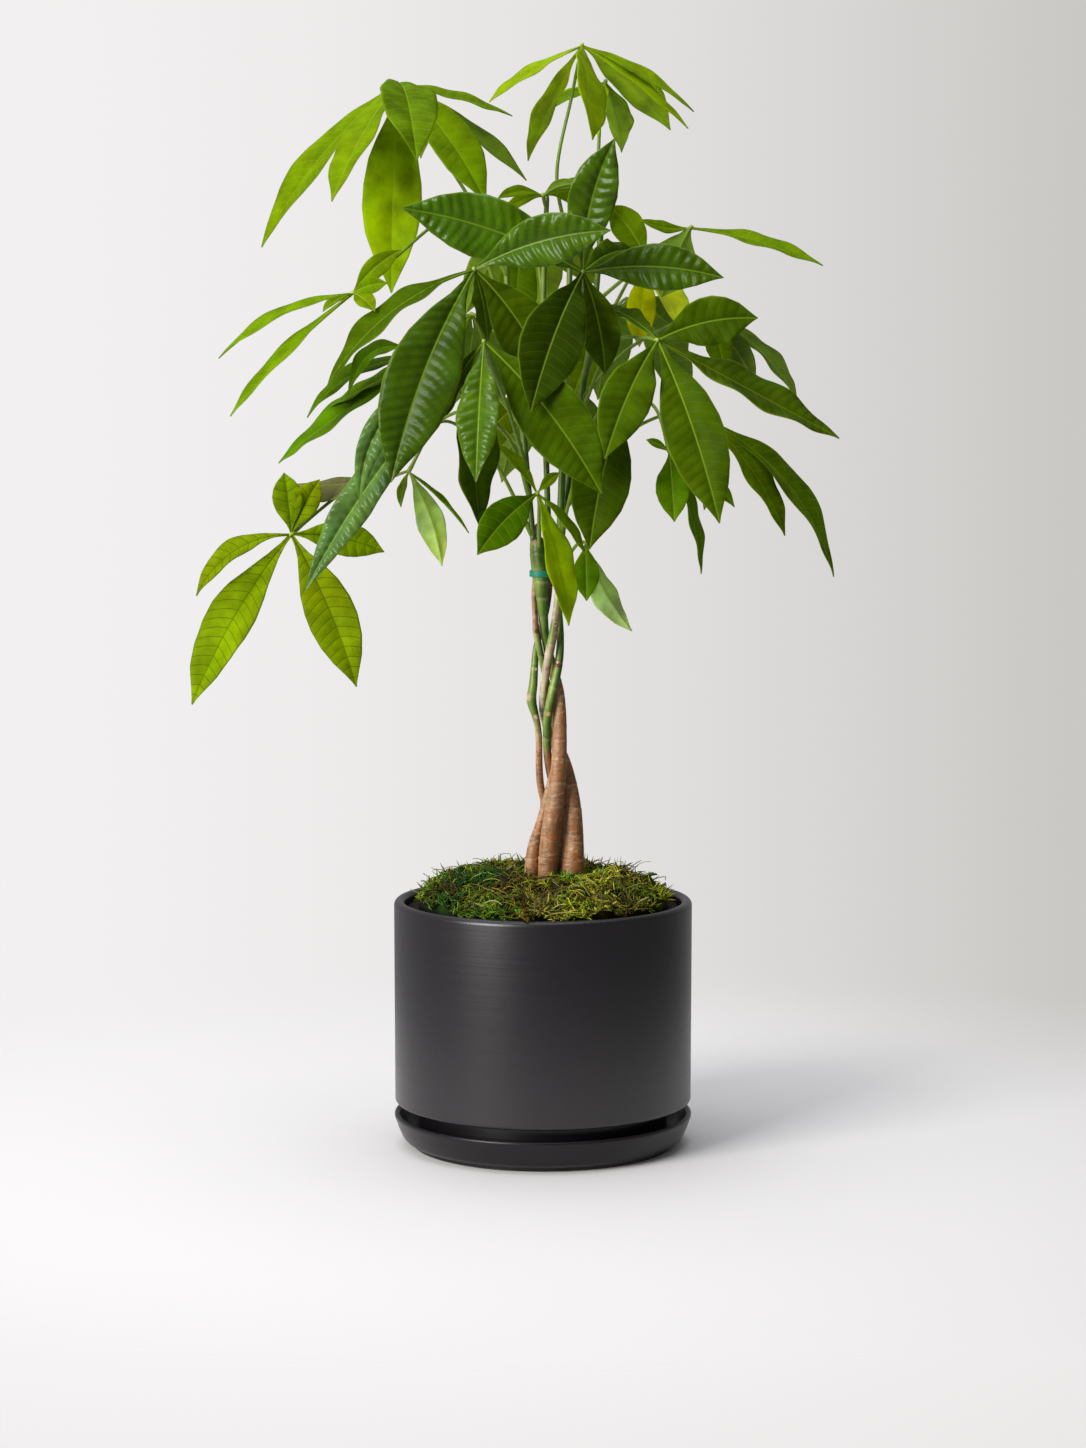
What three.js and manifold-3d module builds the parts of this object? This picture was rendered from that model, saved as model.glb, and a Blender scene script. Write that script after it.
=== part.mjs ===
// A braided money tree in a matte black cylinder pot on its saucer.
// Millimetres, +Z up, origin at the centre of the saucer's underside, seen along +Y from the front.
// Saucer, pot, soil and moss are turned or domed solids; each stem is a tapered tube; each compound
// leaf is one piece: a petiole, a hub and its leaflets, which are thin blades with a real outline.

import * as THREE from "three";
import { mergeVertices } from "three/addons/utils/BufferGeometryUtils.js";
import Module from "manifold-3d";

const wasm = await Module();
wasm.setup();

// Driving dimensions
const POT_RADIUS = 110;
const POT_WALL = 8;
const POT_TOP = 183;
const POT_FOOT_Z = 8;
const FOOT_RADIUS = 92;
const FOOT_WIDTH = 8;
const BODY_UNDERSIDE = 32.2;
const LOWER_EDGE_RADIUS = 3;
const DRAIN_RADIUS = 7;
const SAUCER_RADIUS = 110.2;
const SAUCER_BASE_RADIUS = 97.4;
const SAUCER_RIM_Z = 24.2;
const SOIL_TOP = 176;
const MOSS_EDGE_RADIUS = 92;
const MOSS_EDGE_Z = 185;
const MOSS_RISE = 20;
const CLEARANCE = 0.3;
const STEM_FOOT_Z = 92;
const BLADE_THICKNESS = 0.8;
const PETIOLE_RADIUS = 1.9;
const HUB_RADIUS = 2.3;
const LEAFLET_WIDTH_RATIO = 0.29;
const NARROW_WIDTH_RATIO = 0.15;
const WIDEST_LEAFLET = 51;
const FOLD = 0.16;

// The leaves were placed from the front: x and z as they appear to an eye at this distance and
// height, y the true depth. sightLine() turns them into true places.
const EYE_DISTANCE = 2500;
const EYE_HEIGHT = 574;

const ROUND_SIDES = 28;
const STEM_SIDES = 7;
const PETIOLE_SIDES = 5;

// Stems: centre line points and radii, bottom to top: [x, y, z, radius]
const STEMS = {
  stem_right: [
    [24, 2, STEM_FOOT_Z, 8], [23, 1, 150, 9], [22, 0, 203, 8.9], [22.6, 1, 225, 7.6],
    [21.5, 3, 250, 6.6], [19, 6, 268, 5.8], [14.5, 12, 285, 5], [9, 14.5, 297, 4.4],
    [3.4, 13.5, 310, 3.8], [0.4, 7.5, 322, 3.2], [0.4, -1, 336, 2.9], [2, -6, 350, 3],
    [4.5, -7, 365, 3.3], [7.5, -7, 380, 3.2], [9.8, -5, 395, 3], [11.4, -2, 410, 2.8],
    [12, 0, 432, 2.8], [13, 2, 470, 2.7], [15, 5, 530, 2.5], [18, 8, 600, 2.3], [21, 10, 690, 1.9],
  ],
  stem_middle: [
    [1, -6, STEM_FOOT_Z, 6.4], [2, -6, 150, 7], [3.2, -6, 205, 6.9], [5, -7, 228, 7],
    [7.8, -7.5, 250, 6.9], [10.3, -7, 268, 6.1], [11.6, -6, 285, 5.6], [12.3, -4.5, 302, 5.3],
    [12.4, -2, 320, 4.8], [11, 1.5, 337, 4.3], [7.5, 5, 352, 3.7], [4, 5.5, 365, 3.3],
    [1.5, 3.5, 378, 3.1], [0.2, 1, 392, 3.6], [-0.5, 0, 405, 4.3], [-1.8, -0.6, 418, 5.6],
    [-2.6, -0.6, 430, 6.3], [-3.4, -0.6, 441, 6.3], [-3.8, -0.6, 448, 5.4], [-3.8, -0.6, 450, 2.6],
    [-3.8, -0.6, 460, 2.3],
  ],
  stem_left: [
    [-11, -2, STEM_FOOT_Z, 5.3], [-10, -2, 150, 5.5], [-8.4, -2, 207, 5.2], [-6.5, -0.8, 222, 4.6],
    [-1.4, 2.6, 240, 3.6], [2.6, 5.5, 256, 3.1], [6, 5, 270, 2.7], [8.2, 4.5, 279, 2.5],
    [10, 4.8, 291, 2.4], [9.5, 5.2, 305, 2.4], [7.2, 5.2, 320, 2.4], [4, 7.2, 337, 2.4],
    [1.6, 5, 348, 2.4], [-0.4, 2, 358, 2.4], [-3, 0, 370, 2.4], [-5, -0.6, 381, 2.6],
    [-5.6, -1.4, 391, 2.1], [-6.2, 2, 400, 2], [-6.4, 5.6, 410, 2], [-5.6, 9.2, 423, 2],
    [-8, 11, 455, 2.2], [-13, 14, 510, 2.4], [-19, 18, 570, 2.3], [-25, 20, 620, 2.2],
    [-30, 20, 690, 1.9],
  ],
  stem_slim_left: [
    [-2, 15, STEM_FOOT_Z, 4.2], [-2, 15, 150, 4.5], [-2, 14, 205, 4.2], [0.5, 13, 238, 3.2],
    [0.6, 12, 254, 2.8], [-1.3, 9.5, 263, 2.7], [-2.4, 6.5, 272, 2.7], [-2.9, 3, 286, 2.5],
    [-2.9, 1.4, 300, 2.4], [-3.7, 1.2, 310, 2.4], [-5.6, 0.8, 319, 2.7], [-8.4, 0, 330, 3.7],
    [-7.2, 0, 342, 3.2], [-6.2, 3, 355, 2.7], [-5.2, 6.4, 367, 2.4], [-2, 8.8, 380, 2.2],
    [2.3, 9, 395, 2.3], [4.5, 8, 409, 2.2], [5.2, 7.6, 424, 2.1], [4, 10, 455, 2.2],
    [2, 12, 520, 2.2], [0, 14, 590, 2.1], [1, 12, 650, 2], [3, 10, 700, 1.8],
  ],
  stem_slim_right: [
    [16, 19, STEM_FOOT_Z, 5], [15, 19, 150, 5.4], [13.5, 19, 205, 5.1], [12, 17, 240, 4.4],
    [9.6, 14.5, 258, 3.8], [6.6, 11.4, 270, 3.1], [4.7, 9.4, 279, 3.0], [3.2, 3, 292, 3.0],
    [2.9, -3, 306, 3], [3.7, -6.2, 320, 3.3], [7, -7.2, 338, 3.2], [10, -6, 350, 3.2],
    [12, -3, 362, 3], [12.7, 1, 375, 2.7], [12.2, 5, 388, 2.6], [11.2, 8, 400, 2.5],
    [12, 10, 430, 2.6], [17, 13, 480, 2.6], [26, 18, 540, 2.5], [36, 22, 600, 2.3],
    [44, 24, 690, 1.9],
  ],
};

// Half a leaflet's outline: [place along the midrib, share of the full width]
const OUTLINE = [[0, 0.06], [0.15, 0.24], [0.37, 0.82], [0.6, 1], [0.83, 0.6], [1, 0.03]];

// Leaves whose leaflets are narrow for their length
const NARROW_LEAVES = ["leaf_glossy_left"];

// Leaves: [name, stem, height on the stem, hub, way points of the petiole, leaflets], where a
// leaflet is [tip x, tip y, tip z, width seen, arch, twist in degrees]
const LEAVES = [
  ["leaf_top_right", "stem_right", 660, [28, 5, 804], [[10, 8, 710], [21, 7, 769]], [
    [-39, -30, 764, 7, 0.03, 0], [-11, 50, 722, 14, 0.03, 0], [36, -95, 737, 18, 0.06, 0],
    [109, 35, 757, 7, 0.04, 0], [92, 65, 744, 24, 0.04, 0], [105, 0, 745, 6, 0.03, 0],
  ]],
  ["leaf_top_back", "stem_slim_right", 660, [45, 34, 778], [[40, 28, 720], [42, 33, 760]], [
    [6, 80, 759, 7, 0.04, 0], [40, -20, 739, 10, 0.04, 0], [57, 80, 728, 16, 0.05, 0],
    [61, 100, 739, 12, 0.05, 0],
  ]],
  ["leaf_top_left", "stem_left", 640, [-105, 0, 777], [[-51, 14, 691], [-83, 4, 741]], [
    [-204, -25, 660, 17, 0.06, 0], [-153, -80, 693, 19, 0.05, 0], [-110, -15, 627, 43, 0.04, 0],
    [-91, -125, 722, 38, 0.12, 0], [-41, -48, 691, 31, 0.07, 0], [-22, 30, 754, 6, 0.02, 0],
    [-12, 60, 708, 10, 0.03, 0], [-88, 80, 724, 16, 0.06, 0],
  ]],
  ["leaf_left", "stem_left", 600, [-138, -60, 627], [[-60, 0, 681], [-108, -38, 652]], [
    [-236, -50, 580, 7, 0.08, 0], [-228, -90, 538, 8, 0.03, 0], [-103, -75, 658, 15, 0.06, 180],
    [-113, -80, 634, 12, 0.06, 0], [-122, -100, 614, 12, 0.04, 0], [-160, -90, 614, 5, 0.05, 0],
  ]],
  ["leaf_centre_left", "stem_left", 560, [-50, -90, 644], [[-28, -20, 590], [-42, -60, 625]], [
    [49, -120, 672, 36, 0.06, 0], [-157, -105, 560, 15, 0.1, 0], [-111, -125, 490, 51, 0.06, 0],
    [5, -68, 560, 40, 0.06, 0], [-40, -60, 592, 12, 0.06, 180],
  ]],
  ["leaf_centre_right", "stem_right", 560, [29, -60, 642], [[22, -10, 600], [28, -40, 628]], [
    [-102, -75, 688, 45, 0.05, 0], [52, -90, 738, 34, 0.06, 180], [131, -80, 638, 33, 0.06, 0],
    [-9, -125, 541, 45, 0.06, 0], [45, -56, 568, 29, 0.06, 0], [68, 0, 657, 18, 0.08, 0],
  ]],
  ["leaf_centre_low", "stem_left", 500, [-43, -100, 592], [[-26, -20, 545], [-38, -70, 575]], [
    [-49, -140, 490, 29, 0.06, 0], [43, -118, 481, 47, 0.05, 0], [-84, -92, 524, 16, 0.03, 0],
    [-46, -66, 457, 29, 0.04, 180],
  ]],
  ["leaf_right", "stem_slim_right", 530, [83, -80, 593], [[50, -10, 590], [72, -50, 595]], [
    [156, -95, 609, 35, 0.07, 0], [45, -128, 507, 36, 0.06, 0], [129, -130, 460, 42, 0.05, 0],
    [216, -70, 522, 20, 0, 0], [40, -18, 618, 11, 0.06, 0],
  ]],
  ["leaf_far_right", "stem_slim_right", 470, [118, -15, 536], [[58, 8, 523], [94, -4, 540]], [
    [177, -30, 451, 17, 0.08, 0], [213, 10, 421, 16, 0.11, 0], [118, 60, 470, 20, 0.06, 0],
  ]],
  ["leaf_low_right", "stem_slim_right", 505, [92, -60, 512], [[52, 0, 553], [80, -32, 546]], [
    [75, -50, 521, 6, 0.06, 0], [96, -80, 461, 24, 0.06, 0], [116, -60, 423, 8, 0.06, 0],
    [140, -60, 472, 14, 0.06, 0],
  ]],
  ["leaf_low_middle", "stem_right", 450, [58, -45, 548], [[28, -14, 505], [48, -34, 535]], [
    [34, -62, 441, 42, 0.05, 0], [54, -24, 490, 16, 0.05, 0],
  ]],
  ["leaf_front", "stem_middle", 436, [-4, -62, 482], [[-3, -20, 462], [-3, -45, 476]], [
    [-48, -92, 437, 30, 0.06, 0], [19, -80, 385, 20, 0.06, 0], [31, -62, 437, 7, 0.06, 0],
    [12, -50, 497, 8, 0.06, 0], [-34, -50, 518, 8, 0.06, 0],
  ]],
  ["leaf_front_right", "stem_right", 420, [31, -38, 446], [[20, -18, 438], [27, -30, 446]], [
    [32, -50, 403, 19, 0.06, 0], [65, -25, 381, 18, -0.06, 180],
  ]],
  ["leaf_low_left", "stem_left", 515, [-184, -30, 452],
   [[-56, 12, 542], [-110, 20, 508], [-150, 14, 480]], [
    [-189, -14, 497, 22, 0.05, 0], [-163, -14, 492, 20, 0.05, 0], [-254, -45, 407, 14, 0.16, 0],
    [-258, -65, 327, 33, 0.05, 0], [-137, -55, 340, 36, 0.05, 0], [-116, -10, 439, 25, 0.06, 0],
  ]],
  ["leaf_glossy_left", "stem_left", 480, [-68, -66, 560], [[-24, -10, 520], [-54, -50, 550]], [
    [-174, -78, 411, 26, 0.04, 0], [-134, -96, 474, 19, 0.25, 0],
  ]],
  ["leaf_small_left", "stem_left", 450, [-98, -48, 498], [[-36, 4, 505], [-74, -36, 534]], [
    [-104, -30, 472, 6, 0.08, 0], [-74, -45, 429, 20, 0.06, 180], [-54, -35, 453, 3, 0.04, 0],
    [-186, 40, 488, 15, -0.035, 180],
  ]],
  ["leaf_back_left", "stem_left", 530, [-86, -20, 580], [[-46, 10, 566], [-72, -6, 578]], [
    [-142, -40, 553, 11, 0.34, 0], [-172, -20, 537, 10, 0.14, 0], [-155, 15, 545, 8, 0.01, 0],
    [-193, 20, 504, 14, 0.02, 0],
  ]],
  ["leaf_upper_right", "stem_slim_right", 620, [107, 12, 674], [[62, 8, 640], [90, 6, 662]], [
    [203, 10, 647, 9, 0.035, 0], [86, -24, 624, 38, 0.06, 180], [70, -6, 680, 8, -0.08, 0],
  ]],
  ["leaf_yellow_right", "stem_slim_right", 590, [76, 22, 650], [[52, 20, 618], [66, 20, 642]], [
    [70, 30, 588, 22, 0.04, 0], [100, 100, 600, 20, 0.06, 0], [48, 44, 690, 24, 0.06, 0],
  ]],
  ["leaf_behind_right", "stem_slim_right", 550, [120, 0, 612], [[60, 18, 585], [98, 8, 606]], [
    [132, 5, 572, 20, 0.03, 0], [155, 20, 561, 20, 0.03, 0], [185, 30, 550, 10, 0.08, 0],
  ]],
  ["leaf_small_top", "stem_slim_left", 672, [0, -10, 697], [[3, 4, 684], [1, -4, 692]], [
    [-33, -30, 695, 8, 0.1, 0], [-30, -10, 683, 8, 0.1, 0], [27, -30, 705, 8, 0.1, 0],
    [46, 20, 690, 22, 0.12, 0],
  ]],
  ["leaf_crown_back", "stem_slim_left", 620, [-14, 70, 676], [[-4, 26, 652], [-10, 52, 670]], [
    [-56, 130, 612, 30, 0.06, 0], [0, 190, 610, 36, 0.1, 0], [40, 150, 632, 32, 0.08, 0],
    [-20, 70, 590, 30, 0.06, 0],
  ]],
  ["leaf_back_high_right", "stem_slim_right", 568, [62, 95, 622], [[52, 52, 614], [60, 80, 623]], [
    [40, 170, 550, 36, 0.08, 0], [105, 190, 580, 36, 0.08, 0], [104, 120, 545, 30, 0.08, 0],
    [20, 120, 545, 30, 0.06, 0],
  ]],
  ["leaf_back_high_left", "stem_left", 580, [-52, 90, 612], [[-34, 40, 598], [-46, 74, 610]], [
    [-110, 160, 550, 36, 0.06, 0], [-70, 185, 540, 36, 0.06, 0], [-90, 96, 532, 28, 0.06, 0],
    [-34, 130, 540, 30, 0.08, 0],
  ]],
  ["leaf_back_low", "stem_slim_left", 500, [0, 100, 560], [[0, 40, 530], [0, 78, 556]], [
    [-30, 170, 490, 34, 0.08, 0], [44, 170, 500, 34, 0.08, 0], [-60, 95, 500, 28, 0.06, 0],
    [34, 95, 500, 26, 0.06, 0],
  ]],
];

const MATTE_BLACK = new THREE.MeshStandardMaterial({ color: 0x1d1d1f, roughness: 0.6, metalness: 0 });
const SOIL_BROWN = new THREE.MeshStandardMaterial({ color: 0x2b2019, roughness: 1, metalness: 0 });
const MOSS_GREEN = new THREE.MeshStandardMaterial({ color: 0x5a6b22, roughness: 1, metalness: 0 });
const BARK = new THREE.MeshStandardMaterial({ color: 0x8a5f3f, roughness: 0.8, metalness: 0 });
const TIE_GREEN = new THREE.MeshStandardMaterial({ color: 0x14806a, roughness: 0.6, metalness: 0 });
const LEAF_GREEN = new THREE.MeshStandardMaterial({ color: 0x3f6a10, roughness: 0.45, metalness: 0 });

const plant = new THREE.Group();

function addMesh(name, geometry, material) {
  const mesh = new THREE.Mesh(geometry, material);
  mesh.name = name;
  plant.add(mesh);
}

function toManifold(geometry) {
  const bare = geometry.clone();
  bare.deleteAttribute("normal");
  bare.deleteAttribute("uv");
  const merged = mergeVertices(bare, 1e-4);
  return new wasm.Manifold(new wasm.Mesh({
    numProp: 3,
    vertProperties: new Float32Array(merged.attributes.position.array),
    triVerts: new Uint32Array(merged.index.array),
  }));
}

function toGeometry(solid) {
  const mesh = solid.getMesh();
  const geometry = new THREE.BufferGeometry();
  geometry.setAttribute("position", new THREE.BufferAttribute(mesh.vertProperties, 3));
  geometry.setIndex(new THREE.BufferAttribute(mesh.triVerts, 1));
  geometry.computeVertexNormals();
  return geometry;
}

// The largest separate body of a solid
function mainBody(solid) {
  const bodies = solid.decompose();
  bodies.sort((a, b) => b.volume() - a.volume());
  return bodies[0];
}

// A closed solid from rings of points, each ring with the same number, capped at both ends
function ringSolid(rings) {
  const count = rings[0].length;
  const positions = rings.flat().flatMap((point) => [point.x, point.y, point.z]);
  const faces = [];
  for (let ring = 0; ring + 1 < rings.length; ring += 1) {
    for (let i = 0; i < count; i += 1) {
      const a = ring * count + i;
      const b = ring * count + ((i + 1) % count);
      faces.push(a, b, b + count, a, b + count, a + count);
    }
  }
  const last = (rings.length - 1) * count;
  for (let i = 1; i + 1 < count; i += 1) {
    faces.push(0, i + 1, i);
    faces.push(last, last + i, last + i + 1);
  }
  const geometry = new THREE.BufferGeometry();
  geometry.setAttribute("position", new THREE.Float32BufferAttribute(positions, 3));
  geometry.setIndex(faces);
  return geometry;
}

// A tapered round tube along a curve; radii are given at even steps of the curve
function taperedTube(curve, radii, sides, steps) {
  const rings = [];
  const side = new THREE.Vector3(1, 0, 0);
  for (let step = 0; step <= steps; step += 1) {
    const t = step / steps;
    const centre = curve.getPoint(t);
    const along = curve.getTangent(t);
    side.addScaledVector(along, -side.dot(along)).normalize();
    const across = new THREE.Vector3().crossVectors(along, side);
    const place = t * (radii.length - 1);
    const before = Math.min(Math.floor(place), radii.length - 2);
    const radius = THREE.MathUtils.lerp(radii[before], radii[before + 1], place - before);
    const ring = [];
    for (let i = 0; i < sides; i += 1) {
      const angle = (2 * Math.PI * i) / sides;
      ring.push(centre.clone()
        .addScaledVector(side, radius * Math.cos(angle))
        .addScaledVector(across, radius * Math.sin(angle)));
    }
    rings.push(ring);
  }
  return ringSolid(rings);
}

function sightLine([x, y, z]) {
  const share = 1 + y / EYE_DISTANCE;
  return new THREE.Vector3(x * share, y, EYE_HEIGHT + (z - EYE_HEIGHT) * share);
}

function turned(profile) {
  return new THREE.LatheGeometry(profile.map(([r, z]) => new THREE.Vector2(r, z)), ROUND_SIDES)
    .rotateX(Math.PI / 2);
}

// A quarter-round or other arc of a profile, from one angle to another in degrees
function arc(radius, z, size, from, to, steps) {
  return Array.from({ length: steps + 1 }, (_, i) => {
    const angle = THREE.MathUtils.degToRad(from + ((to - from) * i) / steps);
    return [radius + size * Math.cos(angle), z + size * Math.sin(angle)];
  });
}

function makeSaucer() {
  const floor = POT_FOOT_Z;
  const profile = [
    [0, 0], [SAUCER_BASE_RADIUS - 0.8, 0], [SAUCER_BASE_RADIUS, 0.8], [SAUCER_BASE_RADIUS, 2.8],
    [SAUCER_BASE_RADIUS + 3.6, 3.8], [SAUCER_BASE_RADIUS + 6.4, 6.4], [SAUCER_RADIUS - 3.6, 12],
    [SAUCER_RADIUS - 1.4, 18], [SAUCER_RADIUS, SAUCER_RIM_Z - 1.8],
    [SAUCER_RADIUS - 0.5, SAUCER_RIM_Z - 0.5], [SAUCER_RADIUS - 1.8, SAUCER_RIM_Z],
    [SAUCER_RADIUS - 3.4, SAUCER_RIM_Z - 0.8], [SAUCER_RADIUS - 5.2, 19.5],
    [SAUCER_RADIUS - 8.7, 13], [SAUCER_RADIUS - 13.7, floor], [0, floor],
  ];
  addMesh("saucer", turned(profile), MATTE_BLACK);
}

const POT_INNER = POT_RADIUS - POT_WALL;
const POT_FLOOR = BODY_UNDERSIDE + 8;
const RECESS_TOP = 26;
const FLOOR_RADIUS = 94;
const WALL_START = BODY_UNDERSIDE + LOWER_EDGE_RADIUS;
const INNER_WALL_START = POT_FLOOR + 8;

function makePot() {
  const lip = POT_WALL / 2;
  const profile = [
    [DRAIN_RADIUS, RECESS_TOP], [FOOT_RADIUS - FOOT_WIDTH, RECESS_TOP],
    [FOOT_RADIUS - FOOT_WIDTH, POT_FOOT_Z], [FOOT_RADIUS, POT_FOOT_Z], [FOOT_RADIUS, BODY_UNDERSIDE],
    ...arc(POT_RADIUS - 0.3 - LOWER_EDGE_RADIUS, WALL_START, LOWER_EDGE_RADIUS, -90, 0, 2),
    ...arc(POT_RADIUS - lip, POT_TOP - lip, lip, 0, 180, 4),
    [POT_INNER - 2, INNER_WALL_START], [FLOOR_RADIUS, POT_FLOOR], [DRAIN_RADIUS, POT_FLOOR],
    [DRAIN_RADIUS, RECESS_TOP],
  ];
  addMesh("pot", turned(profile), MATTE_BLACK);
}

// A stem, grown by a clearance at its sides and below its foot
function stemSolid(name, clearance) {
  const points = STEMS[name];
  const radii = points.map((point) => point[3] + clearance);
  const centres = points.map(([x, y, z]) => new THREE.Vector3(x, y, z));
  centres[0].z -= clearance;
  const curve = new THREE.CatmullRomCurve3(centres);
  return toManifold(taperedTube(curve, radii, STEM_SIDES, points.length - 1));
}

// The room that each stem takes in the soil and moss, and that a petiole keeps clear of
const rooms = {};
for (const name of Object.keys(STEMS)) {
  rooms[name] = stemSolid(name, CLEARANCE);
}

function makeStems() {
  for (const name of Object.keys(STEMS)) {
    addMesh(name, toGeometry(stemSolid(name, 0)), BARK);
  }
}

function withStemHoles(solid) {
  return Object.values(rooms).reduce((rest, room) => rest.subtract(room), solid);
}

function makeSoil() {
  const slope = (POT_INNER - CLEARANCE - (POT_INNER - 2)) / (POT_TOP - 4 - INNER_WALL_START);
  const topRadius = POT_INNER - CLEARANCE - 0.2 - slope * (POT_TOP - SOIL_TOP);
  const profile = [
    [0, POT_FLOOR], [FLOOR_RADIUS - CLEARANCE, POT_FLOOR],
    [POT_INNER - 2.4 - CLEARANCE, INNER_WALL_START + 0.4], [topRadius, SOIL_TOP], [0, SOIL_TOP],
  ];
  addMesh("soil", toGeometry(withStemHoles(toManifold(turned(profile)))), SOIL_BROWN);
}

function mossHeight(radius, angle) {
  const share = radius / MOSS_EDGE_RADIUS;
  const dome = MOSS_EDGE_Z + MOSS_RISE * Math.cos((Math.PI / 2) * share ** 1.9);
  const x = radius * Math.cos(angle);
  const y = radius * Math.sin(angle);
  const lumps = Math.sin(x / 9 + 1.3) * Math.cos(y / 8) + 0.7 * Math.sin(x / 5.5 - y / 7 + 0.6);
  return dome + 1.3 * lumps;
}

function makeMoss() {
  const sides = 28;
  const radii = [30, 52, 70, 83, MOSS_EDGE_RADIUS];
  const ringAt = (radius, height) => Array.from({ length: sides }, (_, i) => {
    const angle = (2 * Math.PI * i) / sides;
    return new THREE.Vector3(radius * Math.cos(angle), radius * Math.sin(angle), height(radius, angle));
  });
  const rings = [ringAt(MOSS_EDGE_RADIUS, () => SOIL_TOP)];
  for (const radius of radii.toReversed()) {
    rings.push(ringAt(radius, mossHeight));
  }
  addMesh("moss", toGeometry(withStemHoles(toManifold(ringSolid(rings)))), MOSS_GREEN);
}

// The tie's outline is the taut band round the three stems that it holds together
function makeTie() {
  const held = [[-2.2, -0.6, 6.1], [-5.7, 9.3, 2.1], [5.2, 7.7, 2.2]];
  const tieBottom = 421;
  const tieHeight = 4.5;
  const sides = 28;
  const outline = (gap) => Array.from({ length: sides }, (_, i) => {
    const angle = (2 * Math.PI * i) / sides;
    const reach = ([x, y, r]) => x * Math.cos(angle) + y * Math.sin(angle) + r;
    const [x, y, r] = held.reduce((best, stem) => (reach(stem) > reach(best) ? stem : best));
    return new THREE.Vector2(x + (r + gap) * Math.cos(angle), y + (r + gap) * Math.sin(angle));
  });
  const band = new THREE.Shape(outline(1.7));
  band.holes.push(new THREE.Path(outline(0.6)));
  const geometry = new THREE.ExtrudeGeometry(band, { depth: tieHeight, bevelEnabled: false });
  addMesh("tie", geometry.translate(0, 0, tieBottom), TIE_GREEN);
}

// A leaflet: a thin arched blade, folded up a little along its midrib
function leafletSolid(hub, tip, seenWidth, arch, twist, widthRatio) {
  const chord = tip.clone().sub(hub);
  const length = chord.length();
  const width = Math.max(seenWidth, Math.min(WIDEST_LEAFLET, widthRatio * length));
  const forward = chord.clone().normalize();
  const rise = new THREE.Vector3(0, -0.25, 1);
  rise.addScaledVector(forward, -rise.dot(forward)).normalize();
  const eye = new THREE.Vector3(0, -EYE_DISTANCE, EYE_HEIGHT);
  const sight = hub.clone().sub(eye).normalize();
  const facing = new THREE.Vector3().crossVectors(forward, sight).normalize();
  const edgeOn = new THREE.Vector3().crossVectors(facing, forward).normalize();
  const turn = Math.acos(Math.min(1, seenWidth / width));
  const choices = [turn, -turn].map((angle) => {
    const across = facing.clone().multiplyScalar(Math.cos(angle))
      .addScaledVector(edgeOn, Math.sin(angle));
    const normal = new THREE.Vector3().crossVectors(across, forward);
    return { across, fit: normal.dot(rise) };
  });
  choices.sort((a, b) => Math.abs(b.fit) - Math.abs(a.fit));
  const across = choices[0].across.multiplyScalar(Math.sign(choices[0].fit));
  across.applyAxisAngle(forward, THREE.MathUtils.degToRad(twist));
  const rings = OUTLINE.map(([t, share]) => {
    const centre = hub.clone().addScaledVector(chord, t)
      .addScaledVector(rise, arch * length * 4 * t * (1 - t));
    const along = chord.clone().addScaledVector(rise, arch * length * 4 * (1 - 2 * t)).normalize();
    const wide = across.clone().addScaledVector(along, -across.dot(along)).normalize();
    const up = new THREE.Vector3().crossVectors(wide, along);
    const half = (width * share) / 2;
    const edge = (sideways, lift) => centre.clone()
      .addScaledVector(wide, sideways * half)
      .addScaledVector(up, Math.abs(sideways) * FOLD * half + lift * (BLADE_THICKNESS / 2));
    return [edge(-1, -1), edge(0, -1), edge(1, -1), edge(1, 1), edge(0, 1), edge(-1, 1)];
  });
  return toManifold(bladeGeometry(rings));
}

// Six points a ring: three below, three above, with the faces split alike on both sides
function bladeGeometry(rings) {
  const positions = rings.flat().flatMap((point) => [point.x, point.y, point.z]);
  const faces = [];
  const quad = (a, b, c, d) => faces.push(a, b, c, a, c, d);
  for (let ring = 0; ring + 1 < rings.length; ring += 1) {
    const at = (i) => ring * 6 + i;
    const next = (i) => at(i) + 6;
    faces.push(at(0), next(0), next(1), at(0), next(1), at(1));
    faces.push(at(1), next(1), next(2), at(1), next(2), at(2));
    faces.push(at(5), next(4), next(5), at(5), at(4), next(4));
    faces.push(at(4), next(3), next(4), at(4), at(3), next(3));
    quad(at(2), next(2), next(3), at(3));
    quad(at(5), next(5), next(0), at(0));
  }
  const end = (rings.length - 1) * 6;
  faces.push(0, 1, 4, 0, 4, 5, 1, 2, 3, 1, 3, 4);
  faces.push(end, end + 4, end + 1, end, end + 5, end + 4);
  faces.push(end + 1, end + 3, end + 2, end + 1, end + 4, end + 3);
  const geometry = new THREE.BufferGeometry();
  geometry.setAttribute("position", new THREE.Float32BufferAttribute(positions, 3));
  geometry.setIndex(faces);
  return geometry;
}

function petioleSolid(stem, height, ways, hub) {
  const foot = pointOnStem(stem, height);
  const end = hub.clone().addScaledVector(hub.clone().sub(sightLine(ways.at(-1))).normalize(), 2);
  const curve = new THREE.CatmullRomCurve3([foot, ...ways.map(sightLine), end]);
  const radii = [PETIOLE_RADIUS * 1.3, PETIOLE_RADIUS, PETIOLE_RADIUS * 0.8, HUB_RADIUS];
  return toManifold(taperedTube(curve, radii, PETIOLE_SIDES, 5));
}

function pointOnStem(stem, height) {
  const points = STEMS[stem];
  const above = points.findIndex((point) => point[2] > height);
  const [x0, y0, z0] = points[above - 1];
  const [x1, y1, z1] = points[above];
  const share = (height - z0) / (z1 - z0);
  return new THREE.Vector3(x0, y0, z0).lerp(new THREE.Vector3(x1, y1, z1), share);
}

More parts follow.
